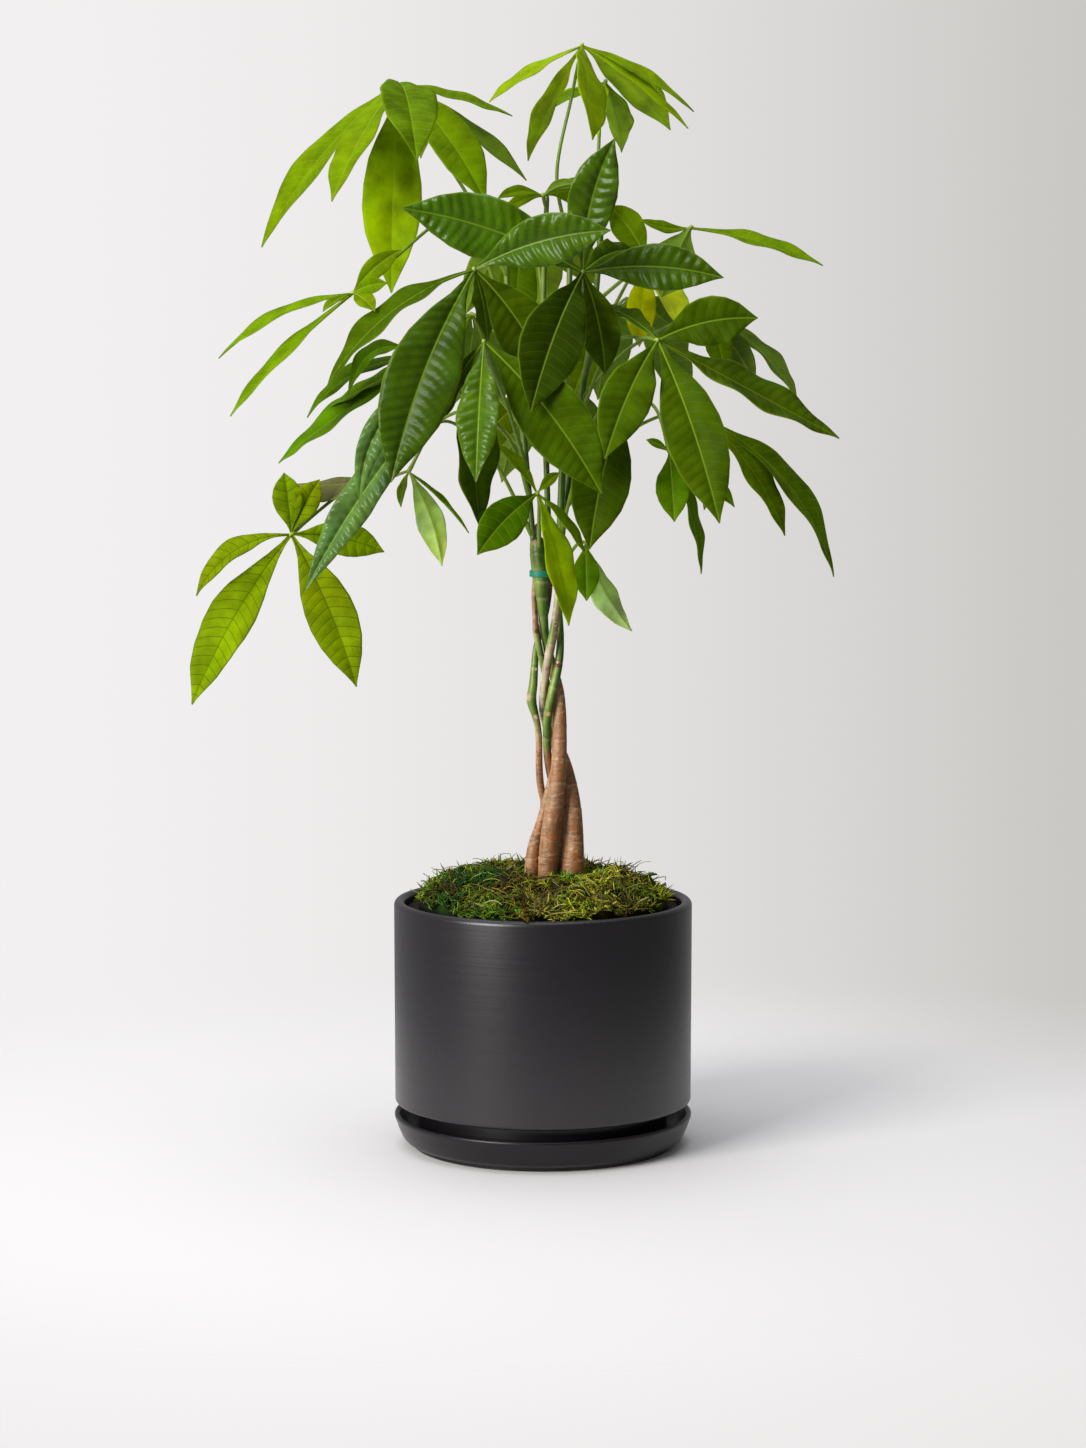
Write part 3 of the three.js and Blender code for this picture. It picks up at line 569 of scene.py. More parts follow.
# Scars of old leaves and twigs: (height, how far across the front from -1 to 1, size, colour)
SCARS = {
    "stem_right": [(387, 0.15, 1.9, "#c9a684"), (387, 0.22, 0.9, "#2b1c12"), (371, -0.1, 1.3, "#d3a088"),
                   (354, 0.0, 1.4, "#b98a72"), (336, 0.3, 1.2, "#b3a070"), (268, 0.2, 1.6, "#a35f33"),
                   (236, -0.3, 2.0, "#a9683c"), (214, 0.4, 2.6, "#9c5228"), (221, -0.2, 1.6, "#c99a70")],
    "stem_middle": [(446, -0.4, 1.6, "#d3a68c"), (312, 0.3, 1.4, "#a86c3e"), (300, 0.1, 1.7, "#b97a46"),
                    (288, -0.3, 1.3, "#dcb98e"), (262, 0.4, 1.8, "#a7663a"), (243, -0.4, 1.2, "#e0bd92"),
                    (231, -0.3, 1.6, "#b06a30"), (229, 0.1, 1.8, "#a35a26"), (230, 0.5, 1.5, "#b5743a"),
                    (216, 0.3, 2.2, "#a65d30"), (210, -0.5, 1.6, "#8e5630")],
    "stem_left": [(418, 0.1, 1.7, "#8a4630"), (416.5, 0.5, 1.0, "#1d120c"), (395, 0.6, 1.5, "#35241a"),
                  (381, 0.2, 1.8, "#33200f"), (240, 0.1, 1.4, "#8f5a34"), (222, -0.2, 1.5, "#a5683c")],
    "stem_slim_left": [(332, -0.7, 2.2, "#d0a88c"), (318, 0.1, 1.7, "#cfb184"), (312, 0.4, 1.1, "#7c5f3a"),
                       (308, -0.3, 1.1, "#8c6c42"), (353, 0.5, 1.0, "#d8d0a4"), (289, 0, 1.6, "#8d5f3c")],
    "stem_slim_right": [(357, -0.3, 2.1, "#743f26"), (358.6, -0.2, 0.9, "#e3cba9"),
                        (356, 0.6, 1.4, "#5a301d"), (321, 0.0, 1.6, "#cfa36c"),
                        (303, 0.2, 1.0, "#2f5a1c"), (286, 0.1, 1.5, "#a5764c")],
}
print(len(STEMS), "stems,", sum(map(len, STEM_RINGS.values())), "rings placed by eye")

# %% Bark and green skin
# Bark and skin are one finish that changes up the stem: dull and finely wrinkled where brown, and
# smoother with a waxy sheen where green. The painted "bark" number says which, point by point. The
# bark is streaked and blotched, rusty in some patches and peeled to a paler layer in others.
STREAK = 2.381
BLOTCH = 13.33
FLAKE = 9.524
WRINKLE_LENGTH = 3.2
WRINKLE_SPACING = 1.0
RUST = "#9c5428"
PEELED_BARK = "#d3a985"

stem_skin, tree, shader = new_material("young_bark_and_green_skin", {"IOR": 1.45})
places = add_node(tree, "TexCoord", {}).outputs["Object"]
tone = add_node(tree, "Attribute", {"attribute_name": "tone"}).outputs["Color"]
barky = add_node(tree, "Attribute", {"attribute_name": "bark"}).outputs["Fac"]
drawn_out = add_node(tree, "Mapping", {"Vector": places, "Scale": (1, 1, 0.22)})
streaks = add_node(tree, "TexNoise", {"Vector": drawn_out.outputs["Vector"],
                                      "Scale": scale_for(STREAK), "Detail": 4.0})
squashed = add_node(tree, "Mapping", {"Vector": places,
                                      "Scale": (1, 1, WRINKLE_LENGTH / WRINKLE_SPACING)})
wrinkles = add_node(tree, "TexNoise", {"Vector": squashed.outputs["Vector"], "Detail": 5.0,
                                       "Scale": scale_for(WRINKLE_LENGTH)})
blotches = add_node(tree, "TexNoise", {"Vector": places, "Scale": scale_for(BLOTCH),
                                       "Detail": 3.0})
mottle = add_node(tree, "Math", {"operation": "ADD", 0: streaks.outputs["Fac"],
                                 1: blotches.outputs["Fac"]})
light_dark = add_node(tree, "MapRange", {"Value": mottle.outputs[0], "From Min": 0.7,
                                         "From Max": 1.35, "To Min": 0.58, "To Max": 1.3})
tint = add_node(tree, "VectorMath", {"operation": "SCALE", 0: tone,
                                     "Scale": light_dark.outputs["Result"]})
flakes = add_node(tree, "TexNoise", {"Vector": squashed.outputs["Vector"], "Detail": 4.0,
                                     "Scale": scale_for(FLAKE), "Distortion": 1.2})
colour = tint.outputs["Vector"]
for edge, middle, most, patch_colour in ((0.56, 0.66, 0.7, RUST), (0.43, 0.34, 0.55, PEELED_BARK)):
    patch = add_node(tree, "MapRange", {"Value": flakes.outputs["Fac"], "From Min": edge,
                                        "From Max": middle, "To Max": most})
    on_bark = add_node(tree, "Math", {"operation": "MULTIPLY", 0: patch.outputs["Result"], 1: barky})
    patched = add_node(tree, "Mix", {"data_type": "RGBA", 0: on_bark.outputs[0],
                                     6: colour, 7: linear(patch_colour)})
    colour = patched.outputs[2]
tree.links.new(colour, shader.inputs["Base Color"])
dull = add_node(tree, "MapRange", {"Value": barky, "To Min": 0.36, "To Max": 0.45})
tree.links.new(dull.outputs["Result"], shader.inputs["Roughness"])
depth = add_node(tree, "MapRange", {"Value": barky, "To Min": 0.12, "To Max": 0.6})
bump = add_node(tree, "Bump", {"Height": wrinkles.outputs["Fac"], "Distance": 0.8 * MM,
                               "Strength": depth.outputs["Result"]})
tree.links.new(bump.outputs[0], shader.inputs["Normal"])
print("bark wrinkles about", WRINKLE_SPACING, "mm apart")

# %% Grow the stems
STEM_SIDES = 24
STEM_STEP = 1.0
RING_SWELLING = 0.05
RING_THICKNESS = 1.2
RING_GROOVE = 0.035
GROOVE_ABOVE_RING = 1.9
GROOVE_THICKNESS = 0.8
TO_WINDOW = [-0.9, -0.35, 0.1]


def blend_colours(heights, stops):
    """Linear colours at some heights, from (height, hex colour) stops."""
    at = [stop[0] for stop in stops]
    colours = np.array([linear(stop[1])[:3] for stop in stops])
    return np.stack([np.interp(heights, at, channel) for channel in colours.T], axis=-1)


def stem_rings(heights, rings, dice):
    """Swelling and groove of the rings over a stem's skin, each between 0 and 1. A ring is a
    little askew, strong on one side and nearly gone on the other."""
    angles = 2 * np.pi * np.arange(STEM_SIDES) / STEM_SIDES
    swelling = np.zeros((len(heights), STEM_SIDES))
    groove = np.zeros((len(heights), STEM_SIDES))
    for ring in rings:
        askew = dice.uniform(0.2, 1.3) * np.cos(angles + 6.3 * dice.random())
        strength = dice.uniform(0.4, 1) * (0.65 + 0.35 * np.cos(angles + 6.3 * dice.random()))
        apart = heights[:, None] - ring - askew
        swelling += strength * np.exp(-(apart / RING_THICKNESS) ** 2)
        groove += strength * np.exp(-((apart - GROOVE_ABOVE_RING) / GROOVE_THICKNESS) ** 2)
    return np.clip(swelling, 0, 1), np.clip(groove, 0, 1)


def with_scars(colours, points, line, scars):
    """Paints the scars on a stem's skin: soft round spots on the side to the camera."""
    outward = points - line[:, None]
    across = outward[..., 0] / np.linalg.norm(outward, axis=-1)
    radius = np.linalg.norm(outward, axis=-1)
    for height, share, size, colour in scars:
        side = (across - share) * radius
        apart = np.hypot(side, points[..., 2] - height) + np.where(outward[..., 1] > 0, 99, 0)
        spot = ease(1.15 * size, 0.75 * size, apart)[..., None]
        colours = colours + spot * (np.array(linear(colour)[:3]) - colours)
    return colours


def grow_stem(name):
    """A stem along its line, with swollen rings, scars, and painted light and shade on its sides."""
    rows = np.array(STEMS[name], dtype=float)
    dice = np.random.default_rng(len(name))
    steps = int((rows[-1, 2] - rows[0, 2]) / STEM_STEP)
    line = smooth_line(rows[:, :3], steps)
    radius = np.interp(np.linspace(0, len(rows) - 1, steps + 1), np.arange(len(rows)), rows[:, 3])
    heights = line[:, 2]
    rings = STEM_RINGS[name] + list(np.arange(RINGS_FROM, rows[-1, 2] - 10, RING_SPACING))
    swelling, groove = stem_rings(heights, rings, dice)
    angles = 2 * np.pi * np.arange(STEM_SIDES) / STEM_SIDES
    ridges = (0.018 * np.sin(3 * angles + heights[:, None] / 16)
              + 0.010 * np.sin(7 * angles - heights[:, None] / 7))
    radii = radius[:, None] * (1 + RING_SWELLING * swelling - RING_GROOVE * groove + ridges)
    radii[-3:] *= np.array([0.9, 0.7, 0.35])[:, None]
    points, faces = tubes([line], [radii], STEM_SIDES)
    skin = points.reshape(steps + 1, STEM_SIDES, 3)
    stops = STEM_COLOURS[name]
    # Painted light and shade: the side to the window takes the lit colour, the far side the darker one
    sunny = blend_colours(heights, [(stop[0], stop[1]) for stop in stops])[:, None]
    shaded = blend_colours(heights, [(stop[0], stop[2]) for stop in stops])[:, None]
    facing = unit(skin - line[:, None]) @ unit(TO_WINDOW)
    drift = 0.3 * np.sin(heights / 9 + 2 * np.sin(heights / 23))[:, None]
    lit = ease(-0.25, 1.1, facing + drift)[..., None]
    colours = shaded + lit * (sunny - shaded)
    # Rings are paler, towards tan, and the groove above each ring is darkened: painted shade in the groove
    pale = 0.3 * swelling[..., None]
    tan = np.array(linear(TAN[0])[:3]) * 0.8
    colours = (colours + pale * (tan - colours)) * (1 - 0.45 * groove[..., None])
    colours = with_scars(colours, skin, line, SCARS[name]).reshape(-1, 3)
    piece = mesh_object(name + "_grown", points, faces, [stem_skin])
    paint(piece, "tone", colours)
    redness = colours[:, 0] / (colours[:, 1] + 0.001)
    paint(piece, "bark", np.clip((redness - 1.0) / 0.6, 0, 1))
    stand_for(piece, "stem", name)
    return piece


for name in STEMS:
    print(name, triangles(grow_stem(name)), "triangles")

# %% [markdown]
# ## The tie
#
# A strip of green plastic plant tape holds the plait together at its top. It is drawn taut round
# the three stems there, so its outline is worked out from them, and it is a thin band with soft edges.

# %% Wind the tie
# Stretched tape turns milky in short streaks, which a mapping squashes to bands across its height.
TIE_HELD = [(-2.2, -0.6, 6.1), (-5.7, 9.3, 2.1), (5.2, 7.7, 2.2)]
TIE_BOTTOM = 421
TIE_SIDES = 72
TIE_SECTION = [(0.6, 0.5), (0.6, 4.0), (0.9, 4.5), (1.4, 4.4), (1.7, 3.8), (1.55, 2.2), (1.7, 0.8),
               (1.4, 0.1), (0.9, 0.0)]
STREAK_LENGTH = 3.0
STREAK_HEIGHT = 0.5

tape, tree, shader = new_material("stretched_plastic_tape", {"Roughness": 0.38, "IOR": 1.49})
places = add_node(tree, "TexCoord", {}).outputs["Object"]
pulled = add_node(tree, "Mapping", {"Vector": places, "Scale": (1, 1, STREAK_LENGTH / STREAK_HEIGHT)})
marks = add_node(tree, "TexNoise", {"Vector": pulled.outputs["Vector"],
                                    "Scale": scale_for(STREAK_LENGTH)})
tint = add_node(tree, "Mix", {"data_type": "RGBA", 0: marks.outputs["Fac"],
                              6: linear("#0c6b5a"), 7: linear("#2aa88d")})
tree.links.new(tint.outputs[2], shader.inputs["Base Color"])
bump = add_node(tree, "Bump", {"Height": marks.outputs["Fac"], "Distance": 0.4 * MM})
tree.links.new(bump.outputs[0], shader.inputs["Normal"])


def taut_outline(gap):
    """A loop drawn taut round the held stems, at a gap from them."""
    loop = []
    for angle in 2 * np.pi * np.arange(TIE_SIDES) / TIE_SIDES:
        way = np.array([math.cos(angle), math.sin(angle)])
        x, y, r = max(TIE_HELD, key=lambda stem: np.dot(stem[:2], way) + stem[2])
        loop.append(np.array([x, y]) + way * (r + gap))
    return np.array(loop)


loops = [np.column_stack([taut_outline(gap), np.full(TIE_SIDES, TIE_BOTTOM + height)])
         for gap, height in TIE_SECTION]
_, faces = turned(TIE_SECTION, TIE_SIDES, True)
tie = mesh_object("plant_tape", np.vstack(loops), faces, [tape])
tie.data.flip_normals()
stand_for(tie, "tie", "tie")
print("tie", triangles(tie), "triangles")

# %% [markdown]
# ## One leaflet
#
# A leaf has five to eight leaflets on one stalk. A leaflet is a thin blade with a strong midrib. Its
# side veins are sunk and the tissue between them bulges, which breaks its gloss into small bright
# bars, so the bulges are real geometry here, and so are the fold at the midrib and the wavy margin.

# %% Shape of a leaflet
LEAFLET_WIDTH_RATIO = 0.29
NARROW_WIDTH_RATIO = 0.15
NARROW_LEAVES = ["leaf_glossy_left"]
WIDEST_LEAFLET = 51
FOLD = 0.22
BLADE_THICKNESS = 0.5
MIDRIB_DEPTH = 0.9
MIDRIB_THICKNESS = 1.2
MIDRIB_GROOVE = 0.25
MIDRIB_GROOVE_WIDTH = 1.1
STATION_SPACING = 2.0
FINE_SPACING = 1.1
LEAST_BULGE_FOR_FINE = 0.8
VEIN_SPACING = 7.5
VEIN_SLANT = 0.3
VEIN_CURVE = 0.012
MARKS = ("veins", "from_rib", "along", "edge")
OUTLINE = [(0, 0.06), (0.07, 0.11), (0.15, 0.25), (0.26, 0.56), (0.37, 0.83), (0.49, 0.98),
           (0.6, 1), (0.72, 0.87), (0.83, 0.6), (0.92, 0.27), (0.97, 0.1), (1, 0.02)]
HALF_ACROSS = [0, 0.04, 0.12, 0.26, 0.42, 0.58, 0.74, 0.88, 1]
ACROSS = np.array([-u for u in HALF_ACROSS[:0:-1]] + HALF_ACROSS)


def true_place(seen):
    """Turns an x and z as the camera sees them, with the true depth y, to the true place."""
    x, y, z = seen
    share = 1 + y / EYE_DISTANCE
    return np.array([x * share, y, EYE_HEIGHT + (z - EYE_HEIGHT) * share])


def turned_about(vector, axis, angle):
    return (vector * math.cos(angle) + np.cross(axis, vector) * math.sin(angle)
            + axis * np.dot(axis, vector) * (1 - math.cos(angle)))


def blade_frame(hub, tip, seen_width, twist, width_ratio):
    """A leaflet's length and width, and its ways forward, across and up. The blade is turned about
    its midrib until it looks as wide to the camera as it should, with its upper face up."""
    chord = tip - hub
    length = np.linalg.norm(chord)
    width = max(seen_width, min(WIDEST_LEAFLET, width_ratio * length))
    forward = unit(chord)
    rise = np.array([0, -0.25, 1])
    rise = unit(rise - np.dot(rise, forward) * forward)
    sight = unit(hub - np.array([0, -EYE_DISTANCE, EYE_HEIGHT]))
    facing = unit(np.cross(forward, sight))
    edge_on = unit(np.cross(facing, forward))
    turn = math.acos(min(1, seen_width / width))
    ways = [facing * math.cos(a) + edge_on * math.sin(a) for a in (turn, -turn)]
    fits = [np.dot(np.cross(way, forward), rise) for way in ways]
    best = 0 if abs(fits[0]) >= abs(fits[1]) else 1
    across = ways[best] * np.sign(fits[best])
    return length, width, forward, turned_about(across, forward, math.radians(twist)), rise


def blade_relief(along, across, half, length, habit, dice):
    """Height of the blade above its flat form, in millimetres, and the count of veins passed."""
    y = np.abs(across) * half
    spacing = length / max(6, round(length / VEIN_SPACING))
    phase = (along * length - VEIN_SLANT * y - VEIN_CURVE * y ** 2) / spacing
    fold = FOLD * half * (1.3 * np.abs(across) - 0.45 * across ** 2)
    bulge = np.abs(np.sin(np.pi * phase)) ** 0.75
    inner = ease(0.03, 0.3, np.abs(across)) * ease(1.0, 0.72, np.abs(across))
    bulge = bulge * inner * habit["bulge"] * ease(0, 12, half)
    waves = habit["waves"] * (1 + 0.3 * dice.random())
    starts = np.where(across < 0, dice.random() * 6.3, dice.random() * 6.3)
    margin = habit["wave"] * np.sin(2 * np.pi * waves * along + starts) * np.abs(across) ** 2.5
    margin = margin * ease(0, 14, half)
    groove = -MIDRIB_GROOVE * np.exp(-(y / MIDRIB_GROOVE_WIDTH) ** 2)
    return fold + bulge + margin + groove, phase


def make_leaflet(hub, tip, seen_width, arch, twist, width_ratio, habit, dice):
    """Points, faces and painted numbers of one leaflet. A leaflet that bulges has finer steps."""
    length, width, forward, across_way, rise = blade_frame(hub, tip, seen_width, twist,
                                                           width_ratio)
    spacing = STATION_SPACING if habit["bulge"] < LEAST_BULGE_FOR_FINE else FINE_SPACING
    stations = max(16, int(length / spacing))
    t = np.linspace(0, 1, stations)[:, None]
    half = width / 2 * np.interp(t, *np.array(OUTLINE).T)
    line = hub + (tip - hub) * t + rise * arch * length * 4 * t * (1 - t)
    ahead = unit((tip - hub) + rise * arch * length * 4 * (1 - 2 * t))
    wide = unit(across_way - (ahead @ across_way)[:, None] * ahead)
    up = np.cross(wide, ahead)
    u = ACROSS[None, :]
    relief, phase = blade_relief(t, u, half, length, habit, dice)
    calm = 0.45 + 0.55 * min(1, seen_width / (0.6 * width))
    relief = relief * calm
    y = u * half
    rib = MIDRIB_DEPTH * np.exp(-(y / MIDRIB_THICKNESS) ** 2) * (1 - 0.7 * t)
    flat = line[:, None] + y[..., None] * wide[:, None]
    top = flat + (relief + BLADE_THICKNESS / 2)[..., None] * up[:, None]
    bottom = flat + (relief - BLADE_THICKNESS / 2 - rib)[..., None] * up[:, None]
    points = np.concatenate([top.reshape(-1, 3), bottom.reshape(-1, 3)])
    index = np.arange(top.shape[0] * top.shape[1]).reshape(top.shape[:2])
    under = index + index.size
    faces = blade_faces(index, under)
    marks = {
        "veins": np.tile(phase.ravel(), 2),
        "from_rib": np.tile(np.abs(y).ravel(), 2),
        "edge": np.tile(np.broadcast_to(np.abs(u), y.shape).ravel(), 2),
        "along": np.tile(np.broadcast_to(t, y.shape).ravel(), 2),
    }
    return points, faces, marks


def blade_faces(index, under):
    """Four-sided faces of a blade: upper side, underside, and the strip round its edge."""
    def strip(a, b, c, d):
        return np.stack([a.ravel(), b.ravel(), c.ravel(), d.ravel()], axis=-1)
    upper = strip(index[:-1, :-1], index[:-1, 1:], index[1:, 1:], index[1:, :-1])
    lower = strip(under[:-1, :-1], under[1:, :-1], under[1:, 1:], under[:-1, 1:])
    right = strip(index[:-1, -1], under[:-1, -1], under[1:, -1], index[1:, -1])
    left = strip(index[:-1, 0], index[1:, 0], under[1:, 0], under[:-1, 0])
    base = strip(index[0, :-1], under[0, :-1], under[0, 1:], index[0, 1:])
    point = strip(index[-1, :-1], index[-1, 1:], under[-1, 1:], under[-1, :-1])
    return upper, lower, np.concatenate([right, left, base, point])


print("a leaflet has", len(ACROSS) - 1, "cells across and one every", STATION_SPACING, "mm along")

# %% [markdown]
# ## Leaf finishes
#
# The upper side has a waxy skin over green tissue: a clear soft gloss over a deep green, with paler
# midrib and veins. The underside has little wax, so it is paler, greyer and dull. Light passes
# through a leaf, so each finish mixes in some light that comes through, more in a young leaf.

# %% Finishes of the blades
# The cells of the skin are far finer on the real leaf and are drawn as coarse as they need to show.
VEIN_WIDTH = 0.065
RIB_WIDTH = 0.55
TISSUE_PATCH = 16.67
SUNNED_PATCH = 38.46
SKIN_CELL = 1.429
PALE_WAX = "#b6cd8e"

# How thick the wax is, from 0 to 1, and what full wax does to the roughness and the sheen
WAXES = {"thin": 0, "fair": 0.1, "thick": 0.65, "full": 1}
WAX_SMOOTHS = 0.38
BARE_SHEEN = 0.02
WAX_SHEEN = 0.32

# The sides of a blade: roughness under thin wax, share of the light that comes through, how far it
# is greyed, its veins' tint and how strongly they take it
SIDES = {
    "upper_side_of_grown_leaf": (0.42, 0.2, 0.0, "#96b434", 0.09),
    "underside_of_grown_leaf": (0.6, 0.34, 0.4, "#b5c878", 0.3),
    "upper_side_of_young_leaf": (0.5, 0.42, 0.0, "#a9c42c", 0.34),
    "underside_of_young_leaf": (0.6, 0.42, 0.15, "#b2c45c", 0.3),
    # Light comes through a fresh leaf's tissue and not its veins, so they show dark
    "upper_side_of_fresh_leaf": (0.5, 0.42, 0.0, "#3a5204", 0.75),
}


def speckled(tree, size, detail, roughness, low, high):
    """The painted tone, darker and lighter in specks of a size. Returns it and the specks."""
    tone = add_node(tree, "Attribute", {"attribute_name": "tone"})
    places = add_node(tree, "TexCoord", {}).outputs["Object"]
    specks = add_node(tree, "TexNoise", {"Vector": places, "Scale": scale_for(size),
                                         "Detail": detail, "Roughness": roughness})
    light_dark = add_node(tree, "MapRange", {"Value": specks.outputs["Fac"], "From Min": 0.3,
                                             "From Max": 0.7, "To Min": low, "To Max": high})
    tint = add_node(tree, "VectorMath", {"operation": "SCALE", 0: tone.outputs["Color"],
                                         "Scale": light_dark.outputs["Result"]})
    return tint.outputs["Vector"], specks.outputs["Fac"]


def vein_lines(tree, veins, from_rib, along, edge, vein_share):
    """How far a place takes the vein's tint: on a side vein, on the pale margin, on the midrib."""
    to_vein = add_node(tree, "Math", {"operation": "PINGPONG", 0: veins, 1: 0.5})
    on_vein = add_node(tree, "MapRange", {"interpolation_type": "SMOOTHSTEP",
                                          "Value": to_vein.outputs[0], "From Max": VEIN_WIDTH,
                                          "To Min": vein_share, "To Max": 0.0})
    on_edge = add_node(tree, "MapRange", {"Value": edge, "From Min": 0.93, "To Max": 0.4})
    rib_share = add_node(tree, "MapRange", {"Value": along, "To Min": 0.75, "To Max": 0.35})
    on_rib = add_node(tree, "MapRange", {"interpolation_type": "SMOOTHSTEP", "Value": from_rib,
                                         "From Min": RIB_WIDTH * 0.4, "From Max": RIB_WIDTH * 1.5,
                                         "To Min": rib_share.outputs["Result"], "To Max": 0.0})
    lines = add_node(tree, "Math", {"operation": "MAXIMUM", 0: on_vein.outputs["Result"],
                                    1: on_edge.outputs["Result"]})
    return add_node(tree, "Math", {"operation": "MAXIMUM", 0: lines.outputs[0],
                                   1: on_rib.outputs["Result"]}).outputs[0]


@cache
def leaf_finish(side, wax):
    """The finish of one side of a blade, made once for each wax. Its tone is painted on each
    leaflet, and the veins are drawn over it."""
    roughness, through, greyed, vein_tint, vein_share = SIDES[side]
    material, tree, shader = new_material(wax + "_wax_on_" + side, {
        "IOR": 1.45, "Roughness": roughness * (1 - WAX_SMOOTHS * WAXES[wax]),
        "Specular IOR Level": BARE_SHEEN + WAX_SHEEN * WAXES[wax]})
    vein_marks = [
        add_node(tree, "Attribute", {"attribute_name": mark}).outputs["Fac"] for mark in MARKS]
    tissue, _ = speckled(tree, TISSUE_PATCH, 3.0, 0.55, 0.74, 1.26)
    places = add_node(tree, "TexCoord", {}).outputs["Object"]
    ripe = add_node(tree, "TexNoise", {"Vector": places, "Scale": scale_for(SUNNED_PATCH),
                                       "Detail": 3.0})
    sunned = add_node(tree, "MapRange", {"Value": ripe.outputs["Fac"], "From Min": 0.42,
                                         "From Max": 0.66, "To Max": 0.8})
    yellower = add_node(tree, "VectorMath", {"operation": "MULTIPLY", 0: tissue,
                                             1: (1.25, 1.1, 0.6)})
    mottled = add_node(tree, "Mix", {"data_type": "RGBA", 0: sunned.outputs["Result"],
                                     6: tissue, 7: yellower.outputs["Vector"]})
    paled = add_node(tree, "Mix", {"data_type": "RGBA", 0: greyed, 6: mottled.outputs[2],
                                   7: linear(PALE_WAX)})
    veined = add_node(tree, "Mix", {"data_type": "RGBA", 0: vein_lines(tree, *vein_marks, vein_share),
                                    6: paled.outputs[2], 7: linear(vein_tint)})
    tree.links.new(veined.outputs[2], shader.inputs["Base Color"])
    cells = add_node(tree, "TexNoise", {"Vector": places, "Scale": scale_for(SKIN_CELL)})
    bump = add_node(tree, "Bump", {"Height": cells.outputs["Fac"], "Strength": 0.04,
                                   "Distance": 0.3 * MM})
    tree.links.new(bump.outputs[0], shader.inputs["Normal"])
    glow = add_node(tree, "VectorMath", {"operation": "MULTIPLY", 0: veined.outputs[2],
                                         1: (1.9, 1.6, 0.5)})
    passing = add_node(tree, "BsdfTranslucent", {"Color": glow.outputs["Vector"]})
    mixed = add_node(tree, "MixShader", {"Fac": through, 1: shader.outputs[0],
                                         2: passing.outputs[0]})
    tree.links.new(mixed.outputs[0], tree.nodes["Material Output"].inputs["Surface"])
    return material


print(len(SIDES), "sides of leaves, with", len(WAXES), "thicknesses of wax")

# %% Finish of the stalks
# A stalk has the leaf's waxy skin over firm, even tissue, so it is smooth with faint specks.
STALK_SPECK = 3.846

stalk, tree, shader = new_material("smooth_green_leaf_stalk", {"Roughness": 0.42, "IOR": 1.45})
tint, _ = speckled(tree, STALK_SPECK, 3.0, 0.5, 0.85, 1.15)
tree.links.new(tint, shader.inputs["Base Color"])
print("stalk specks about", STALK_SPECK, "mm across")
